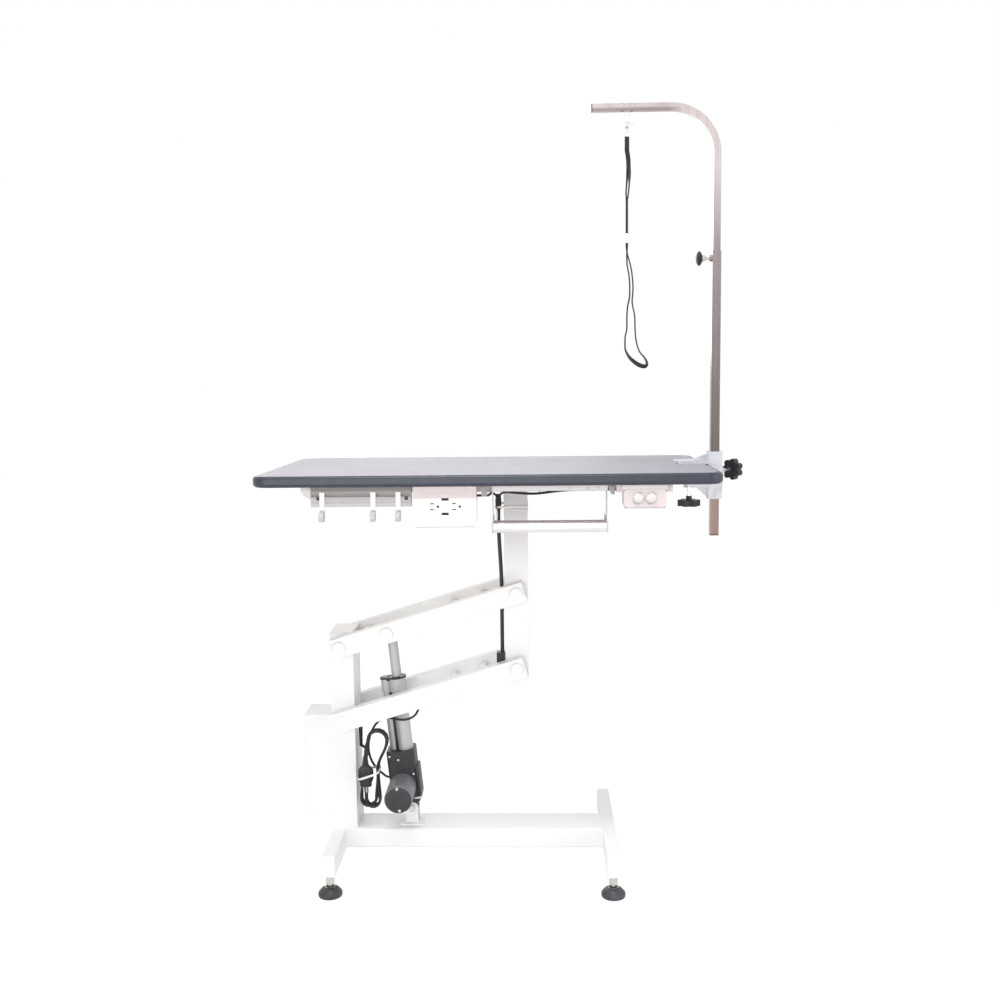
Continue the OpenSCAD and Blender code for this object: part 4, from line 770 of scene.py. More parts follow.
def hank_point(t):
    """A point of the hank after t turns: down the left run, round, up the right run, round."""
    u = t % 1
    v = 1 - u / 0.175 if u < 0.5 else (u - 0.5) / 0.175 - 1
    low = 0.35 <= u < 0.5
    high = u >= 0.85
    if low or high:
        v = -1 if low else 1
    r = HANK_TOP_R + 4 * fan(t) if v > 0 else HANK_LOW_R
    mid = (15 + 5 * fan(t) if v > 0 else -10 + 14 * fan(t + 1)) * eased(abs(v))
    half = HANK_WAIST + (r - HANK_WAIST) * eased(abs(v))
    z = v * (HANK_UP if v > 0 else HANK_DOWN)
    if low or high:
        a = math.pi * (u - (0.35 if low else 0.85)) / 0.15
        side = -1 if low else 1
        x, z = mid + side * r * math.cos(a), z + v * r * math.sin(a)
    else:
        x = mid + (-half if u < 0.5 else half)
    return spot(HANK_X + x, HANK_Y - HANK_PITCH * t, HANK_Z + z)


def mains_route():
    """From the gland down into the hank, through its turns, and into the plug."""
    first = HANK_RINGS // 8
    turns = [hank_point(i / HANK_RINGS) for i in range(first, HANK_LOOPS * HANK_RINGS)]
    turns.append(hank_point(HANK_LOOPS - 1e-9))
    start_way = (turns[1] - turns[0]).normalized()
    end_way = (turns[-1] - turns[-2]).normalized()
    fall = [spot(GLAND_X, HANK_Y, GLAND_Z - z) for z in (24, 36, 50, 64)]
    fall.append(spot(GLAND_X + 1.5, HANK_Y, GLAND_Z - 82))
    fall += [turns[0] - d * MM * start_way for d in (24, 8)]
    plug_top = spot(PLUG[0], PLUG[1], PLUG[2] + PLUG_H + RELIEF_H - 1)
    tail = [turns[-1] + 6 * MM * end_way]
    tail += [turns[-1] + 10 * MM * end_way + Vector((-0.5, -3, 0)) * MM, plug_top + Vector((0, 3, 12)) * MM,
        plug_top + Vector((0, 0, 6)) * MM, plug_top]
    return smoothed(fall + [turns[0]], 5)[:-1] + turns + smoothed([turns[-1]] + tail, 6)[1:]


def cord_piece(name, body, route, r):
    """A round cord as a mesh tube along its route."""
    shape = Shape()
    shape.tube(route, r * MM, 14)
    return shape.piece(name, body, "cord_rubber", smooth=60)


def squircle(w, h, z, n=32, power=3.2):
    """A ring between an ellipse and a rectangle, in millimetres."""
    ring = []
    for a in turn_angles(n):
        c, s = math.cos(a), math.sin(a)
        k = (abs(c) ** power + abs(s) ** power) ** (-1 / power)
        ring.append((w / 2 * k * c * MM, h / 2 * k * s * MM, z * MM))
    return ring


def make_plug():
    """The moulded three-pin plug: its body, a ribbed relief and the pins."""
    place = at(*PLUG)
    body = Shape()
    widths = ((0, 28.5, 19.5), (0.8, 30, 21), (8, 30, 21.2), (13, 33.5, 21.8), (19, 38.8, 22), (26, 40, 22),
        (36, 40, 22), (43, 38, 21.6), (49, 31, 19.6), (52.5, 23, 18), (PLUG_H, 19, 17))
    body.lofted([squircle(w, d, z) for z, w, d in widths], place)
    profile = [(9, PLUG_H - 1)]
    ribs = 5
    for k in range(ribs):
        z = PLUG_H + 1 + k * (RELIEF_H - 3) / ribs
        r = 8.6 - 3.4 * k / ribs
        profile += [(r, z), (r, z + 2.6), (r - 1.5, z + 3.0), (r - 1.5, z + (RELIEF_H - 3) / ribs - 0.2)]
    profile += [(CORD_R + 1, PLUG_H + RELIEF_H - 1.5), (CORD_R + 0.3, PLUG_H + RELIEF_H)]
    body.turned(profile, place, 28)
    for x in (-9.5, 9.5):
        for k in range(4):
            z = 23 + 4.5 * k
            body.box((x - 5.5, -11.4, z), (x + 5.5, -10.6, z + 2), 0.3, place)
    made = body.piece("mains_plug_body", "base", "satin_black")
    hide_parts("mains_plug")
    pins = Shape()
    for x in (-6.4, 6.4):
        pins.box((x - 0.8, -3.2, -18), (x + 0.8, 3.2, 0.5), 0.3, place)
    ground = [(0, -20.8), (1.2, -20.4), (2.0, -19.2), (2.3, -17.5), (2.3, 1)]
    pins.turned(ground, place @ Matrix.Translation((0, 7 * MM, 0)), 20)
    blades = pins.piece("mains_plug_pins", "base", "zinc")
    return [made, blades]


# The tie round the hank and the plug, slanting up to the right
TIE_LEFT, TIE_RIGHT, TIE_FRONT, TIE_BACK = -352.2, -297, -83.2, -17
TIE_Z, TIE_SLOPE = 260, 0.33


def make_hank_tie():
    """The white tie round the hank and its plug."""
    shape = Shape()
    cx, cy = (TIE_LEFT + TIE_RIGHT) / 2, (TIE_FRONT + TIE_BACK) / 2
    route = []
    for x, y in round_outline(TIE_RIGHT - TIE_LEFT, TIE_BACK - TIE_FRONT, 15, 8):
        route.append(spot(cx + x, cy + y, TIE_Z + TIE_SLOPE * x))
    across = Vector((-TIE_SLOPE, 0, 1)).normalized()
    shape.band(route, [across] * len(route), 5.6 * MM, 1.4 * MM, loop=True)
    return shape.piece("hank_tie", "base", "nylon_tie", 50)


def make_cord_sleeve():
    """The tapered rubber relief that the cord hangs in below its gland, with its moulded rings."""
    rings = 8
    route = smoothed([spot(GLAND_X, HANK_Y, GLAND_Z - NOSE_H + 3)]
        + [spot(GLAND_X, HANK_Y, GLAND_Z - NOSE_H - SLEEVE_H * k / 3) for k in (0, 1, 2, 3)], 24)

    def ringed(t):
        return (5.7 - 1.4 * t - (0.5 if (t * rings) % 1 > 0.72 else 0)) * MM
    shape = Shape()
    shape.tube(route, ringed, 24)
    return shape.piece("cord_sleeve", "base", "cord_rubber", 40)


def make_mains_cord():
    """The mains cord in its tied hank, with its plug, tie and sleeve."""
    route = mains_route()
    cord = cord_piece("mains_lead", "base", route, CORD_R)
    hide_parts("mains_cord", "mains_hank")
    on_it = make_plug() + [make_hank_tie(), make_cord_sleeve()]


CABLE_X, CABLE_Y = 26.0, -45
BOOT_Z, BOOT_H = 948, 40
SHEATH_POINTS = ((-6, -4, 952), (-6, -4, 934), (-6, -2, 905), (-5, 0, 870), (-3, 0, 830), (-1, 0, 790),
    (0, 0, 745), (0, 0, 690), (0, 0, 640), (0, 0, 600), (0, 0, 578))
BUTTON_LEAD = ((367, -231, 1006), (367, -224, 1006), (362, -210, 1008), (345, -194, 1010), (310, -185, 1011),
    (262, -181, 1011), (205, -180, 1010), (165, -179, 1007), (135, -177, 1003), (110, -171, 1000.5),
    (85, -158, 1000), (65, -139, 999.5), (49, -115, 998.5), (37, -92, 996), (28, -72, 991), (24, -56, 984),
    (24, -53, 980))
OUTLET_LEAD = ((-24.5, -236, 1004), (-17, -236, 1004), (-8, -226, 1003), (1, -204, 1001), (4, -172, 1000),
    (5, -138, 999), (7, -104, 997), (9, -76, 992), (16, -56, 984), (16, -53, 980))
MOTOR_LEAD = ((-227.2, -3, 452), (-219, -4, 452), (-208, -8, 449), (-199, -16, 439), (-196, -26, 424),
    (-203, -34, 410), (-217, -37, 401), (-234, -37, 397.5), (-252, -35, 398.5), (-268, -30, 400),
    (-284, -21, 398), (-298, -13, 390), (-311, -12, 377), (-321, -12, 360), (-328, -12, 340),
    (-331, -12, 318), (-329, -12, 296), (-322, -12, 276), (-312, -12, 261), (-301, -12, 249),
    (-291, -12, 240.5), (-284, -13.5, 236.5), (-277.3, -14, 235))


def cable(name, body, points, r):
    """A cable that runs from one place on the object to another."""
    route = smoothed([spot(*p) for p in points], 8)
    made = cord_piece(name, body, route, r)
    return made


def make_column_cable():
    """The sheath down the moving column, its two leads under the frame, and their boot."""
    down = [(CABLE_X + x, CABLE_Y + y, z) for x, y, z in SHEATH_POINTS]
    sheath = cable("column_sheath", "table", down, SHEATH_R)
    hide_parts("column_cable")
    cable("button_lead", "table", BUTTON_LEAD, LEAD_R)
    cable("outlet_lead", "table", OUTLET_LEAD, LEAD_R)
    boot = Shape()
    wrapped = [(0, 0)]
    turns = 7
    for k in range(turns):
        z = BOOT_H * k / turns
        step = BOOT_H / turns
        r = 8.2 - 0.5 * abs(k - 3)
        wrapped += [(r - 0.5, z + 0.2), (r, z + 0.3 * step), (r, z + 0.8 * step), (r - 0.5, z + step - 0.1)]
    wrapped += [(0, BOOT_H)]
    boot.turned(wrapped, at(CABLE_X - 6, CABLE_Y - 4, BOOT_Z), 24)
    boot.piece("cable_boot", "table", "cord_rubber", 60)


def bent_round(corners, radii, steps):
    """A closed outline in two axes with its corners cut back by their radii and bent."""
    outline = []
    for i, (corner, r) in enumerate(zip(corners, radii)):
        here = Vector(corner)
        before, after = Vector(corners[i - 1]), Vector(corners[(i + 1) % len(corners)])
        a = here + (before - here).normalized() * r
        b = here + (after - here).normalized() * r
        for k in range(steps + 1):
            t = k / steps
            outline.append(a * (1 - t) ** 2 + here * 2 * t * (1 - t) + b * t * t)
    return outline


# The moving column's middle and half its width, which the ties go round
COLUMN_X, COLUMN_HALF = 63.47, 30.0


def tie_band(name, z, slope, width, tail=()):
    """A cable tie round the moving column and the boot beside its front corner."""
    left, right, past_boot = COLUMN_X - COLUMN_HALF, COLUMN_X + COLUMN_HALF, COLUMN_X - COLUMN_HALF - 22
    corners = ((past_boot, -57.5), (right + 0.7, -56.2), (right + 0.7, 56.2), (left - 0.7, 56.2),
        (past_boot, -40))
    route = [spot(q.x, q.y, z + slope * (q.x - COLUMN_X))
        for q in bent_round(corners, (7, 1.6, 1.6, 1.6, 7), 4)]
    shape = Shape()
    shape.band(route, [UP] * len(route), width * MM, 1.2 * MM, loop=True)
    head = spot(left - 18, -59, z - slope * (COLUMN_HALF + 18))
    shape.box((-2.6, -2.2, -3), (2.6, 1.2, 3), 0.5, Matrix.Translation(head))
    if tail:
        ends = [head + Vector(p) * MM for p in tail]
        line = spaced(smoothed(ends, 6), 2 * MM)
        shape.band(line, carried_sides(line, start=Vector((1, 0, 0))), 2.4 * MM, 0.9 * MM)
    return shape.piece(name, "table", "nylon_tie", 50)


BAR_Z = 1867.1
STRAP_W, STRAP_T, STRAP_SKEW = 11, 2, 74
JOINED_Z = 1620
NOOSE_X = 348
LAYER_Z = (BAR_Z - 42, 1815, 1798, 1780, 1757, 1735, 1718, 1700, 1680, 1660, 1640, 1620, 1604)
LOOP_POINTS = ((0, 1590, 1.2), (0, 1574, 0), (0.5, 1557, -2.5), (4, 1538, -4), (6, 1520, -5),
    (7, 1498, -5), (6, 1476, -5), (1.5, 1453, -4), (0, 1425, -2), (0, 1398, 0), (-4, 1379, 0),
    (-4, 1350, 0), (2, 1335, 0), (11, 1323, 0), (26, 1311, 0), (40, 1305, 1), (49, 1306, 2),
    (51, 1315, 3), (44, 1328, 4), (33, 1341, 4), (26, 1360, 4), (22.5, 1379, 4), (21, 1405, 4),
    (20, 1433, 5), (14, 1465, 6), (16, 1495, 6), (15, 1520, 6), (12, 1545, 5), (7, 1566, 3),
    (2, 1582, 0.5), (0.5, 1592, -1))
WIRE_R = 1.8
BAR_OUT = WIRE_R + 0.4 + STRAP_T / 2


def strap_skew(z):
    """How far the webbing is turned about its own length at a height."""
    return math.radians(STRAP_SKEW * eased((BAR_Z - 30 - z) / 90))


def layer_point(z, side):
    """A point of one of the webbing's two layers at a height."""
    out = STRAP_T / 2 + 0.25 + 2 * eased((1800 - z) / 25) * eased((z - 1715) / 25)
    sway = 4 * eased((1850 - z) / 50) * eased((z - 1715) / 70)
    return (sway - side * out * math.sin(strap_skew(z)), side * out * math.cos(strap_skew(z)), z)


def strap_line():
    """The webbing's points and its turn about its route, in the order that it is sewn."""
    wrap = [(0, -BAR_OUT, BAR_Z - z) for z in (26, 18, 9, 0)]
    wrap += [(0, BAR_OUT * math.cos(math.radians(a)), BAR_Z + BAR_OUT * math.sin(math.radians(a)))
        for a in (150, 120, 90, 60, 30)]
    wrap += [(0, BAR_OUT, BAR_Z - z) for z in (0, 9, 18, 28)]
    down = [layer_point(z, 1) for z in LAYER_Z]
    around = [(x, y, z) for x, z, y in LOOP_POINTS]
    up = [layer_point(z, -1) for z in LAYER_Z[::-1]] + [(0, 0, BAR_Z - z) for z in (28, 18, 9)]
    points = wrap + down + around + up
    turns = []
    for i, p in enumerate(points):
        k = i - len(wrap) - len(down)
        if k < 0:
            turns.append(strap_skew(p[2]))
        elif k < len(around):
            turns.append(math.radians(STRAP_SKEW) * (1 - 2 * eased((k - 10) / 9)))
        else:
            turns.append(-strap_skew(p[2]))
    return points, turns, len(wrap), points.index(layer_point(JOINED_Z, -1))


def make_webbing():
    """The webbing as two runs that meet by the slider: down and round, and back up."""
    points, turns, wrapped, joined = strap_line()
    route = [spot(NOOSE_X + x, y, z) for x, y, z in points]
    sides = []
    for i, turn in enumerate(turns):
        way = heading(route, i)
        side = Vector((1, 0, 0))
        if i >= wrapped:
            side = math.cos(turn) * Vector((-way.z, 0, way.x)) + Vector((0, math.sin(turn), 0))
        sides.append((side - side.dot(way) * way).normalized())
    steps = 4
    fine = smoothed(route, steps)
    fine_sides = [s.normalized() for s in smoothed(sides, steps)]
    meet = joined * steps
    runs = []
    for name, part in (("noose_webbing", slice(0, meet + 1)), ("noose_return", slice(meet, len(fine)))):
        shape = Shape()
        shape.band(fine[part], fine_sides[part], STRAP_W * MM, STRAP_T * MM)
        runs.append((shape.piece(name, "noose", "webbing", 50), fine[part]))
    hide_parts("noose_strap")
    return runs


def make_noose_fittings():
    """The wire eye that the webbing hangs on, the sewn joint and its stitches."""
    eye = Shape()
    bar_half = STRAP_W / 2 + WIRE_R + 0.6
    stem_z = BAR_Z + 15
    corners = [(-bar_half, BAR_Z), (bar_half, BAR_Z), (0, stem_z)]
    bent = [spot(NOOSE_X + q.x, 0, q.y) for q in bent_round(corners, (2.6, 2.6, 2.6), 5)]
    eye.tube(bent, WIRE_R * MM, 14, loop=True)
    stem_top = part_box("noose_strap")[1].z / MM
    stem = [(0, stem_z - 2.6), (2.6, stem_z - 2.2), (2.8, stem_z), (2.0, stem_z + 2.4),
        (2.0, stem_top - 0.3), (0, stem_top)]
    eye.turned(stem, at(NOOSE_X, 0, 0), 20)
    eye_piece = eye.piece("swivel_eye", "noose", "chrome", 60)
    joint = Shape()
    wide = STRAP_W / 2 - 0.4
    deep = BAR_OUT + 0.55
    joint.box((-wide, -deep, -6.5), (wide, deep, 6.5), 0.5, at(NOOSE_X, 0, BAR_Z - 17.5))
    joint_piece = joint.piece("sewn_joint", "noose", "webbing")
    stitches = Shape()
    for side in (-1, 1):
        for k in range(7):
            z = BAR_Z - 12.4 - 1.7 * k
            for x in (-3.4, -1.1, 1.2, 3.5):
                shift = 0.5 if k % 2 else -0.5
                line = [spot(NOOSE_X + x + shift - 0.9, side * (BAR_OUT + 0.5), z),
                    spot(NOOSE_X + x + shift, side * (BAR_OUT + 0.75), z + 0.1),
                    spot(NOOSE_X + x + shift + 0.9, side * (BAR_OUT + 0.5), z)]
                stitches.tube(smoothed(line, 3), 0.22 * MM, 6)
    stitch_piece = stitches.piece("joint_stitches", "noose", "cord_rubber")
    return [eye_piece, joint_piece, stitch_piece]


# Base and lift


def seam(shape, a, b, r):
    """A straight weld between two points."""
    n = max(2, round((b - a).length / (1.2 * MM)))
    weld_bead(shape, [a + (b - a) * k / n for k in range(n + 1)], r, loop=False)


def make_base_details():
    """Welds round the base's joints, and the screws of the control box's cover."""
    welds = Shape()
    low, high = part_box("base_column")
    leg_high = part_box("left_leg")[1]
    bar_low, bar_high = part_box("crossbar")
    top = bar_high.z
    bead = 2.0 * MM
    inset = 9 * MM
    for y in (low.y, high.y):
        seam(welds, Vector((low.x, y, top)), Vector((leg_high.x, y, top)), bead)
    seam(welds, Vector((low.x, low.y, top)), Vector((low.x, high.y, top)), bead)
    seam(welds, Vector((high.x, low.y + inset, top)), Vector((high.x, high.y - inset, top)), bead)
    wide, high_z = bar_high.y - bar_low.y, bar_high.z - bar_low.z
    centre = Vector(((bar_low.y + bar_high.y) / 2, (bar_low.z + bar_high.z) / 2))
    for x in (bar_low.x, bar_high.x):
        route = [Vector((x, q.x, q.y)) for q in dense_outline(wide, high_z, 8 * MM, centre)]
        weld_bead(welds, route, bead)
    welds.piece("base_welds", "base", COAT, 60)
    screws = Shape()
    box_low, box_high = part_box("control_cover")
    for y in (box_low.y + 11 * MM, box_high.y - 11 * MM):
        for z in (box_low.z + 12 * MM, box_high.z - 12 * MM):
            screw_head(screws, facing(Vector((box_low.x + 0.1 * MM, y, z)), (-1, 0, 0)), 3.6, 1.6)
    screws.piece("cover_screws", "base", "zinc", 40)


def dense_outline(w, h, r, centre):
    """A rounded rectangle in two axes with closely spaced points."""
    corners = [Vector(p) + centre for p in round_outline(w, h, r, 3)]
    route = []
    for i, a in enumerate(corners):
        b = corners[(i + 1) % len(corners)]
        n = max(1, round((b - a).length / (1.2 * MM)))
        route += [a + (b - a) * k / n for k in range(n)]
    return route


# The drive's forms in the millimetres of drive_spot()
MOTOR_U, MOTOR_V, HOUSING_FRONT = -16, 66, -34
HOUSING_TOP, HOUSING_RIGHT, HOUSING_LEFT = 158, 25, -49
TUBE_RADIUS, SIDE_RADIUS, SIDE_TUBE, ROD_RADIUS, COLLAR_TOP = 20, 11, 30, 13, 349.7


def turned_through(start, end, steps):
    """The angles from a start up to an end, in equal steps."""
    return [start + (end - start) * k / steps for k in range(steps)]


def drive_spot(u, y, v):
    """A point on the drive: right of its rod, back from the middle, and up along the rod."""
    return DRIVE @ (Vector((u, y, v)) * MM)


def make_drive_details():
    """The motor's face with its screws, the housing's cheek, ledge and screws, and the dark strips between
    the tubes.
    """
    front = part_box("motor")[0].y / MM
    place = facing(drive_spot(MOTOR_U, front, MOTOR_V), FRONT_WAY)
    face = Shape()
    ring = [(0, 0.7), (12.6, 0.7), (13.4, 0.2), (33, 0.2), (33.4, 0.05)]
    face.turned(ring, place, 64)
    face.piece("motor_face", "actuator", "housing_plastic", 30)
    screws = Shape()
    for side in (-1, 1):
        head = drive_spot(MOTOR_U, front + 0.1, MOTOR_V + side * 28.5)
        screw_head(screws, facing(head, FRONT_WAY, 0.6 * side), 4.2, 2.2)
    for u, v in ((-19, 137), (-41, 148), (17, 96)):
        screw_head(screws, facing(drive_spot(u, HOUSING_FRONT + 0.1, v), FRONT_WAY, 0.4), 3.6, 2.0)
    screws.piece("drive_screws", "actuator", "zinc", 40)
    cheek = Shape()
    right, left, near = HOUSING_RIGHT, HOUSING_LEFT, HOUSING_FRONT
    cheek.box((right - 2, near - 1.5, 34), (right + 6, 24, 112), 1.6, DRIVE)
    cheek.box((left + 30, near - 1.6, 112), (right + 1.2, near + 3, 117), 0.8, DRIVE)
    for y in (near + 1, -near - 9):
        cheek.box((left + 2, y, HOUSING_TOP - 14), (left + 11, y + 8, HOUSING_TOP + 2.5), 1.4, DRIVE)
    cheek.piece("housing_cheek", "actuator", "housing_plastic", 40)
    strip = Shape()
    strip.box((right - 13, near - 1, 28.5), (right + 6, 22, 33.8), 0.6, DRIVE)
    strip.piece("housing_strip", "actuator", "zinc", 40)
    tube_low, tube_high = HOUSING_TOP + 0.5, 314
    # Black strips along the valley between the two tubes: a groove, and painted shade in that valley
    channel = Shape()
    for y in (-11.5, 9.5):
        channel.box((-22.6, y, tube_low), (-17.2, y + 2, tube_high), 0.5, DRIVE)
    channel.piece("tube_channel", "actuator", "satin_black", 40)
    rim = Shape()
    big, small, apart = TUBE_RADIUS + 4.5, SIDE_RADIUS + 4.5, SIDE_TUBE
    lean = math.acos((big - small) / apart)
    lobe = [(-apart + small * math.cos(a), small * math.sin(a))
        for a in turned_through(math.pi - lean, math.pi + lean, 16)]
    reach = -ROD_RADIUS - 3
    lobe = [(reach, 19.5)] + lobe + [(reach, -19.5)]
    high = COLLAR_TOP + 4.5
    rim.slab(lobe, COLLAR_TOP, high, 1.0, DRIVE)
    inner = ROD_RADIUS + 0.8
    profile = [(inner, COLLAR_TOP), (big, COLLAR_TOP), (big, high - 0.6), (big - 0.6, high),
        (inner, high), (inner, COLLAR_TOP)]
    rim.turned(profile, DRIVE, 64)
    rim.piece("collar_rim", "actuator", "satin_black", 40)
    rim_screws = Shape()
    for u, y in ((-apart, -4), (-13, -14.5), (13, -14.5), (-13, 14.5), (13, 14.5)):
        screw_head(rim_screws, facing(drive_spot(u, y, high - 0.1), DRIVE_WAY), 2.6, 1.8)
    rim_screws.piece("collar_screws", "actuator", "zinc", 40)


# Under the tabletop


BELOW_GROOVE = 24.2
RAIL_BOLT = 8
SOCKETS, PORTS, PLATE_MIDDLE = (-30.5, 20.5), (-17, 17), 75
HANGER_SCREWS = (180, 222, 246)
CHANNEL_SCREWS, PLATE_BOLT = 5, 66
# A place for outlines in X and Z; its own Z axis points to the front
FRONT_VIEW = at(0, 0, 0) @ Matrix.Rotation(math.pi / 2, 4, "X")


def make_rail_fittings():
    """The rail's two square screws, sunk so that the hooks pass, and the bracket at its left end."""
    low, high = extent("hook_rail")
    bolts = Shape()
    top = high.z - BELOW_GROOVE
    for x in (low.x + 17.6, high.x - 12):
        half = RAIL_BOLT / 2
        bolts.box((x - half, low.y - 0.12, top - RAIL_BOLT), (x + half, low.y + 0.6, top), 0)
    bolts.piece("rail_bolts", "table", "housing_plastic")
    bracket = Shape()
    left, right, top = low.x - 24, low.x - 0.1, high.z
    outline = [(left, top), (left, top - 10), (left + 6, top - 20), (right - 4, top - 29),
        (right, top - 29), (right, top)]
    bracket.slab(outline, -(low.y + 5), -(low.y + 3), 0.4, FRONT_VIEW)
    bracket.box((left, low.y + 4, top - 2), (right, low.y + 24, top))
    bracket.box((left + 12, low.y + 4, top - 26), (right + 1, low.y + 8, top - 4))
    bracket.piece("rail_bracket", "table", COAT)


def make_outlet_fittings():
    """What shows in the plate's openings, its centre screw, its mouldings and a painted shadow gap below."""
    low, high = extent("outlet_plate")
    x_mid, z_mid, face = low.x + PLATE_MIDDLE, (low.z + high.z) / 2, low.y
    # Near-black boxes in the openings stand in for their unlit insides: painted shade
    dark = Shape()
    for x in (x_mid + shift for shift in SOCKETS):
        for z in (-7, 7):
            dark.box((x - 4.3, face + 2.2, z_mid + z - 1.2), (x + 4.3, face + 16, z_mid + z + 1.2), 0)
        hole = facing(spot(x + 13.5, face + 16, z_mid), FRONT_WAY)
        dark.turned([(0, 0), (2.85, 0), (2.85, 13.8), (0, 13.8)], hole, 24)
    for z in (z_mid + shift for shift in PORTS):
        dark.box((x_mid - 8.8, face + 3.2, z - 2.8), (x_mid + 8.8, face + 15, z + 2.8), 0)
    # A near-black strip under the plate's lower edge: a painted shadow gap between plate and box
    dark.box((low.x + 4, face + 1.4, low.z - 1.0), (high.x - 4, face + 6, low.z + 0.8), 0.2)
    dark.piece("outlet_insides", "table", "dark_hollow")
    tongues = Shape()
    for z in (z_mid + shift for shift in PORTS):
        tongues.box((x_mid - 6.2, face + 1.6, z + 0.2), (x_mid + 6.2, face + 4, z + 1.3), 0.2)
    tongues.piece("port_tongues", "table", "housing_plastic")
    screw = Shape()
    screw_head(screw, facing(spot(x_mid, face + 0.1, z_mid), FRONT_WAY, 0.5), 3.2, 1.0)
    screw.piece("plate_screw", "table", "gloss_white", 40)
    frame_line = Shape()
    for w, h, shift in ((100, 62, 0), (38, 50, -27), (38, 50, 27)):
        route = [spot(x_mid + shift + x, face - 0.05, z_mid + z) for x, z in round_outline(w, h, 6, 6)]
        frame_line.tube(route, 0.35 * MM, 6, loop=True)
    frame_line.piece("plate_mouldings", "table", "face_plate", 60)


def make_tray_fittings():
    """The lip's end plates, the hanger's screws, and the small brackets beside the tray."""
    low, high = extent("tray_hanger")
    lip_high = extent("tool_tray")[1]
    ends = Shape()
    for x in (low.x - 1.2, high.x + 0.1):
        ends.box((x, low.y - 0.6, low.z - 0.8), (x + 1.1, low.y + 25.6, lip_high.z + 0.8), 0.3)
    catch_x, top = high.x + 2, high.z
    outline = [(catch_x, top), (catch_x, top - 9), (catch_x + 8, top - 23), (catch_x + 15, top - 23),
        (catch_x + 15, top)]
    ends.slab(outline, -(low.y + 18), -(low.y + 4), 0.8, FRONT_VIEW)
    clip = low.x - 25
    ends.box((clip, low.y - 1, top - 25), (clip + 13, low.y + 1, top), 0.4)
    ends.box((clip, low.y, top - 2), (clip + 13, low.y + 28, top), 0.4)
    ends.piece("tray_brackets", "table", "grey_paint", 40)
    screws = Shape()
    for x in HANGER_SCREWS:
        place = facing(spot(low.x + x, low.y - 0.1, top - 8), FRONT_WAY, 0.3)
        screw_head(screws, place, 3.4, 1.8)
    screws.piece("hanger_screws", "table", COAT, 40)


BUTTON_BOX_GAP = 10


def make_button_fittings():
    """A ring round each push button, a dark strip along the box's lower edge and the plate behind its top.
    """
    low, high = extent("button_box")
    rings = Shape()
    for name in ("button_up", "button_down"):
        a, b = extent(name)
        place = facing(spot((a.x + b.x) / 2, low.y, (a.z + b.z) / 2), FRONT_WAY)
        profile = [(12.3, -0.5), (12.4, 0.6), (12.9, 1.1), (13.7, 1.1), (14.3, 0.7), (14.6, 0),
            (14.6, -0.5), (12.3, -0.5)]
        rings.turned(profile, place, 48)
    rings.piece("button_rings", "table", "zinc", 50)
    # A dark strip along the box's lower edge: partly a seam, partly painted shade in the gap there
    line = Shape()
    line.box((low.x + 19, low.y + 3, low.z - 0.9), (high.x - 19, low.y + 52, low.z + 1), 0.4)
    line.piece("button_box_seam", "table", "housing_plastic")
    backing = Shape()
    bottom = high.z - BUTTON_BOX_GAP - 1
    backing.box((low.x + 12, low.y + 3, bottom), (high.x - 12, low.y + 5, high.z - 0.1))
    backing.piece("button_box_backing", "table", COAT)


def make_underside_fittings():
    """Screws through the frame's channels, and the bolts of the moving column's plate."""
    low, high = extent("table_frame")
    screws = Shape()
    for side in (-1, 1):
        for k in range(CHANNEL_SCREWS):
            x = low.x + 30 + k * (high.x - low.x - 60) / (CHANNEL_SCREWS - 1)
            place = facing(spot(x, side * (high.y - 20), low.z + 0.1), -UP)
            screw_head(screws, place, 5, 2.4)
    low, high = extent("table_column")
    x_mid = (low.x + high.x) / 2
    for x in (x_mid - PLATE_BOLT, x_mid + PLATE_BOLT):
        for y in (-PLATE_BOLT, PLATE_BOLT):
            under = facing(spot(x, y, high.z - 8 + 0.1), -UP)
            screws.turned([(0, 0), (8.5, 0), (8.5, 1.4), (0, 1.4)], under, 28)
            screws.turned([(0, 1), (7.2, 1), (7.2, 5.4), (6.4, 6), (0, 6)], under, 6)
    screws.piece("underside_screws", "table", "zinc", 35)


def make_post_fittings():
    """Plugs in the post's and the arm's open ends, and a black strip below the clamp's upper jaw."""
    low, high = extent("post")
    x_mid = high.x - (high.y - low.y) / 2
    half = (high.y - low.y) / 2
    plug = Shape()
    plug.box((x_mid - half, -half, low.z - 2.6), (x_mid + half, half, low.z - 0.1), 0.8)
    plug.box((x_mid - half + 1.8, -half + 1.8, low.z - 1), (x_mid + half - 1.8, half - 1.8, low.z + 12))
    plug.piece("post_plug", "post_tube", "satin_black")
    top = extent("table_mat")[1].z
    low, high = extent("clamp_body")
    # A black strip under the upper jaw: a rubber liner, and painted shade for the shadow line there
    liner = Shape()
    liner.box((low.x + 3, -32, top + 0.05), (x_mid - half - 3, 32, top + 1.5), 0.2)
    liner.piece("jaw_liner", "table", "satin_black")
    low, high = extent("bent_arm")
    half = (high.y - low.y) / 2
    tip = Shape()
    tip.box((low.x - 2.2, -half, high.z - 2 * half), (low.x - 0.1, half, high.z), 0.7)
    tip.box((low.x - 1, -half + 1.6, high.z - 2 * half + 1.6), (low.x + 12, half - 1.6, high.z - 1.6))
    tip.piece("arm_plug", "top_arm", "satin_black")


# Operators and panel


COLOR = {"subtype": "COLOR", "size": 3, "min": 0, "max": 1}


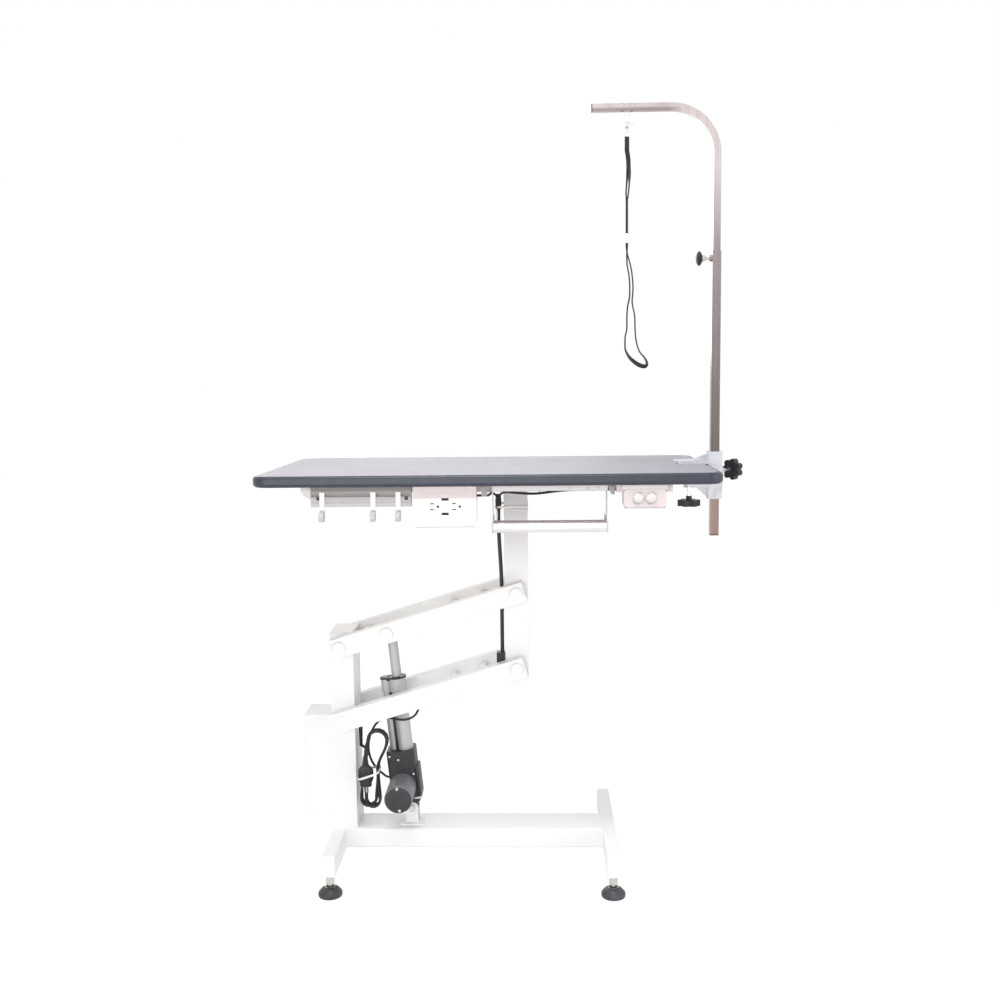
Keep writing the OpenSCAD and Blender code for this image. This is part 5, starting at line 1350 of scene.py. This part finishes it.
class TableSettings(bpy.types.PropertyGroup):
    """Colours and sizes of the table's finishes."""

    coat_color: bpy.props.FloatVectorProperty(name="Powder coat", default=(0.92, 0.915, 0.915), **COLOR,
        description="Colour of the painted steel")
    plate_color: bpy.props.FloatVectorProperty(name="Plate", default=(0.88, 0.88, 0.87), **COLOR,
        description="Colour of the outlet plate and its screw")
    black_color: bpy.props.FloatVectorProperty(name="Black parts", default=(0.012, 0.012, 0.014), **COLOR,
        description="Colour of knobs, feet and collars")
    housing_color: bpy.props.FloatVectorProperty(name="Drive", default=(0.026, 0.026, 0.031), **COLOR,
        description="Colour of the drive's gear housing")
    motor_color: bpy.props.FloatVectorProperty(name="Motor", default=(0.15, 0.147, 0.163), **COLOR,
        description="Colour of the motor's can")
    box_color: bpy.props.FloatVectorProperty(name="Button box", default=(0.76, 0.665, 0.67), **COLOR,
        description="Colour of the button box")
    button_color: bpy.props.FloatVectorProperty(name="Buttons", default=(0.7, 0.645, 0.65), **COLOR,
        description="Colour of the push buttons")
    # Colour of the painted dark reflection on the post low down, above the tabletop
    dark_reflection_color: bpy.props.FloatVectorProperty(name="Post, low", default=(0.145, 0.13, 0.122), **COLOR,
        description="Colour of the post above the tabletop")
    tube_color: bpy.props.FloatVectorProperty(name="Drive tube", default=(0.54, 0.525, 0.53), **COLOR,
        description="Colour of the anodised tubes")
    rail_color: bpy.props.FloatVectorProperty(name="Hook rail", default=(0.46, 0.44, 0.435), **COLOR,
        description="Colour of the hook rail")
    steel_color: bpy.props.FloatVectorProperty(name="Post", default=(0.33, 0.29, 0.29), **COLOR,
        description="Colour of the polished post and arm")
    sheet_color: bpy.props.FloatVectorProperty(name="Tray", default=(0.8, 0.775, 0.795), **COLOR,
        description="Colour of the tray's sheet")
    cast_color: bpy.props.FloatVectorProperty(name="Clamp", default=(0.62, 0.62, 0.66), **COLOR,
        description="Colour of the silver clamp casting")
    cord_color: bpy.props.FloatVectorProperty(name="Cords", default=(0.012, 0.012, 0.013), **COLOR,
        description="Colour of the cord sheaths")
    mat_color: bpy.props.FloatVectorProperty(name="Mat", default=(0.34, 0.32, 0.37), **COLOR,
        description="Colour of the rubber mat")
    trim_color: bpy.props.FloatVectorProperty(name="Edge", default=(0.03, 0.036, 0.056), **COLOR,
        description="Colour of the edge trim")
    board_color: bpy.props.FloatVectorProperty(name="Board", default=(0.5, 0.36, 0.21), **COLOR,
        description="Colour of the plywood board")
    strap_color: bpy.props.FloatVectorProperty(name="Webbing", default=(0.03, 0.022, 0.024), **COLOR,
        description="Colour of the noose")
    mat_pitch: bpy.props.FloatProperty(name="Mat pitch", subtype="DISTANCE", unit="LENGTH", min=0.003,
        max=0.012, default=0.0065, description="Distance between the mat's raised pads")
    lamp_level: bpy.props.FloatProperty(name="Lamps", description="Strength of all lamps together",
        min=0.1, max=3, default=1.0)
    floor_white: bpy.props.FloatProperty(name="Floor", subtype="FACTOR", min=0, max=1, default=0.86,
        description="Share of plain white in what the camera sees of the floor")


class TABLE_OT_finishes(bpy.types.Operator):
    """Makes the finishes and dresses the frame's own parts in them"""

    bl_idname = "table.finishes"
    bl_label = "Finishes"

    def execute(self, context):
        for make in FINISHES:
            make()
        for name, (finish, edge) in NODE_FINISHES.items():
            dress_node(name, finish, edge)
        return {"FINISHED"}


class TABLE_OT_cords(bpy.types.Operator):
    """Makes the mains cord in its hank, the column's cable and the motor's lead"""

    bl_idname = "table.cords"
    bl_label = "Cords"

    def execute(self, context):
        make_mains_cord()
        make_column_cable()
        lead = cable("motor_lead", "actuator", MOTOR_LEAD, LEAD_R)
        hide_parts("actuator_lead")
        tie_band("column_tie", 955, 0.0, 5.4)
        tail = ((0, -1, -2), (2, -6, -14), (1, -7, -30), (-3, -6, -46))
        tie_band("column_tie_slanted", 949, -0.12, 2.6, tail)
        return {"FINISHED"}


class TABLE_OT_noose(bpy.types.Operator):
    """Makes the noose's webbing with its sewn joint and swivel eye"""

    bl_idname = "table.noose"
    bl_label = "Noose"

    def execute(self, context):
        on_it = make_noose_fittings()
        for strap, route in make_webbing():
            on_it = []
        return {"FINISHED"}


class TABLE_OT_base(bpy.types.Operator):
    """Makes the base's welds and small fixings"""

    bl_idname = "table.base"
    bl_label = "Base details"

    def execute(self, context):
        make_base_details()
        return {"FINISHED"}


class TABLE_OT_drive(bpy.types.Operator):
    """Makes the motor's face, the housing's cheek and ledge, the dark strips between the tubes, the rim and
    screws
    """

    bl_idname = "table.drive"
    bl_label = "Drive details"

    def execute(self, context):
        make_drive_details()
        return {"FINISHED"}


def seen_directly(tree):
    """A value that is 1 for what the camera sees, also by way of metal and glass."""
    path = tree.nodes.new("ShaderNodeLightPath").outputs
    total = path["Is Camera Ray"]
    for name in ("Is Glossy Ray", "Is Transmission Ray"):
        node = tree.nodes.new("ShaderNodeMath")
        node.operation = "MAXIMUM"
        tree.links.new(total, node.inputs[0])
        tree.links.new(path[name], node.inputs[1])
        total = node.outputs[0]
    return total


def floor_material(white):
    """Pale paper, with a share of plain white in what the camera sees of it."""
    f = Finish("pale_floor", (0.9, 0.9, 0.9), 0.8)
    glow = f.node("ShaderNodeEmission", {"Color": (1, 1, 1, 1), "Strength": 1.1})
    share = f.math("MULTIPLY", seen_directly(f.tree), white)
    mix = f.node("ShaderNodeMixShader", {0: share, 1: f.shader.outputs[0], 2: glow.outputs[0]})
    f.join(mix.outputs[0], f.tree.nodes["Material Output"].inputs["Surface"])
    return f.mat


def studio_world():
    """White surroundings, at full strength where the camera sees them and at half elsewhere."""
    world = bpy.data.worlds.new("studio")
    bpy.context.scene.world = world
    world.use_nodes = True
    tree = world.node_tree
    back = tree.nodes["Background"]
    back.inputs["Color"].default_value = (1, 1, 1, 1)
    level = tree.nodes.new("ShaderNodeMapRange")
    level.inputs["To Min"].default_value = 0.5
    level.inputs["To Max"].default_value = 1.0
    tree.links.new(seen_directly(tree), level.inputs["Value"])
    tree.links.new(level.outputs["Result"], back.inputs["Strength"])


def softbox(name, place, aim, width, height, watts):
    """A flat lamp in metres that looks from its place to its aim."""
    lamp = bpy.data.lights.new(name, "AREA")
    lamp.shape = "RECTANGLE"
    lamp.size, lamp.size_y = width, height
    lamp.energy = watts * settings().lamp_level
    made = bpy.data.objects.new(name, lamp)
    made.location = place
    made.rotation_mode = "QUATERNION"
    made.rotation_quaternion = (Vector(aim) - Vector(place)).to_track_quat("-Z", "Y")
    bpy.context.scene.collection.objects.link(made)


def photo_camera():
    """The camera of the photograph, from its place, its two angles and its roll."""
    yaw, pitch, roll = (math.radians(a) for a in (CAMERA_YAW, CAMERA_PITCH, CAMERA_ROLL))
    ahead = Vector((-math.sin(yaw) * math.cos(pitch), math.cos(yaw) * math.cos(pitch), -math.sin(pitch)))
    right = Vector((math.cos(yaw), math.sin(yaw), 0))
    up = right.cross(ahead)
    right, up = right * math.cos(roll) + up * math.sin(roll), up * math.cos(roll) - right * math.sin(roll)
    data = bpy.data.cameras.new("photo_camera")
    data.lens = CAMERA_LENS
    data.sensor_width = 36
    data.clip_end = 100
    made = bpy.data.objects.new("photo_camera", data)
    place = Matrix((right, up, -ahead)).transposed().to_4x4()
    place.translation = spot(*CAMERA_PLACE)
    made.matrix_world = place
    bpy.context.scene.collection.objects.link(made)
    bpy.context.scene.camera = made


class TABLE_OT_fittings(bpy.types.Operator):
    """Makes the fittings of the rail, outlets, tray, buttons and frame under the tabletop"""

    bl_idname = "table.fittings"
    bl_label = "Fittings under the tabletop"

    def execute(self, context):
        make_rail_fittings()
        make_outlet_fittings()
        make_tray_fittings()
        make_button_fittings()
        make_underside_fittings()
        return {"FINISHED"}


class TABLE_OT_post(bpy.types.Operator):
    """Makes the plugs of the post and of its bent arm, and the black strip under the clamp's jaw"""

    bl_idname = "table.post"
    bl_label = "Post fittings"

    def execute(self, context):
        make_post_fittings()
        return {"FINISHED"}


# The floor's radius in millimetres, and for each lamp its place, aim, width and height, and watts
FLOOR_RADIUS = 14000
LAMPS = (
    ("key", (-0.3, -1.3, 4.2), (0, -0.3, 1.0), 1.2, 0.7, 55),
    ("front", (-0.9, -3.2, 1.3), (0, 0, 0.8), 3.0, 2.2, 44),
    ("right", (2.9, -1.4, 1.6), (0, 0, 0.9), 2.0, 2.2, 24),
    ("rear", (-0.8, 3.0, 2.2), (0, 0, 1.0), 2.6, 1.8, 30),
)


class TABLE_OT_stage(bpy.types.Operator):
    """Makes the floor, the lamps, the white surroundings and the photograph's camera"""

    bl_idname = "table.stage"
    bl_label = "Stage"

    def execute(self, context):
        photo_camera()
        studio_world()
        floor = Shape()
        floor.turned([(0, -2), (FLOOR_RADIUS, -2), (FLOOR_RADIUS, 0), (0, 0)], steps=64)
        data = bpy.data.meshes.new("floor")
        floor.mesh.to_mesh(data)
        floor.mesh.free()
        data.materials.append(floor_material(settings().floor_white))
        made = bpy.data.objects.new("floor", data)
        context.scene.collection.objects.link(made)
        for lamp in LAMPS:
            softbox(*lamp)
        context.scene.view_settings.view_transform = "Standard"
        return {"FINISHED"}


class TABLE_PT_panel(bpy.types.Panel):
    """Lists the table's parts and finishes"""

    bl_idname = "TABLE_PT_panel"
    bl_label = "Grooming Table"
    bl_space_type = "VIEW_3D"
    bl_region_type = "UI"
    bl_category = "Grooming Table"

    def draw(self, context):
        for operator in OPERATORS:
            self.layout.operator(operator.bl_idname)
        for name in TableSettings.__annotations__:
            self.layout.prop(context.scene.grooming_table, name)


OPERATORS = (TABLE_OT_finishes, TABLE_OT_cords, TABLE_OT_noose, TABLE_OT_base, TABLE_OT_drive,
    TABLE_OT_fittings, TABLE_OT_post, TABLE_OT_stage)
CLASSES = (TableSettings, *OPERATORS, TABLE_PT_panel)


def register():
    for made in CLASSES:
        bpy.utils.register_class(made)
    bpy.types.Scene.grooming_table = bpy.props.PointerProperty(type=TableSettings)


def unregister():
    del bpy.types.Scene.grooming_table
    for made in reversed(CLASSES):
        bpy.utils.unregister_class(made)


def main():
    register()
    for operator in OPERATORS:
        group, name = operator.bl_idname.split(".")
        getattr(getattr(bpy.ops, group), name)()


if __name__ == "__main__":
    main()
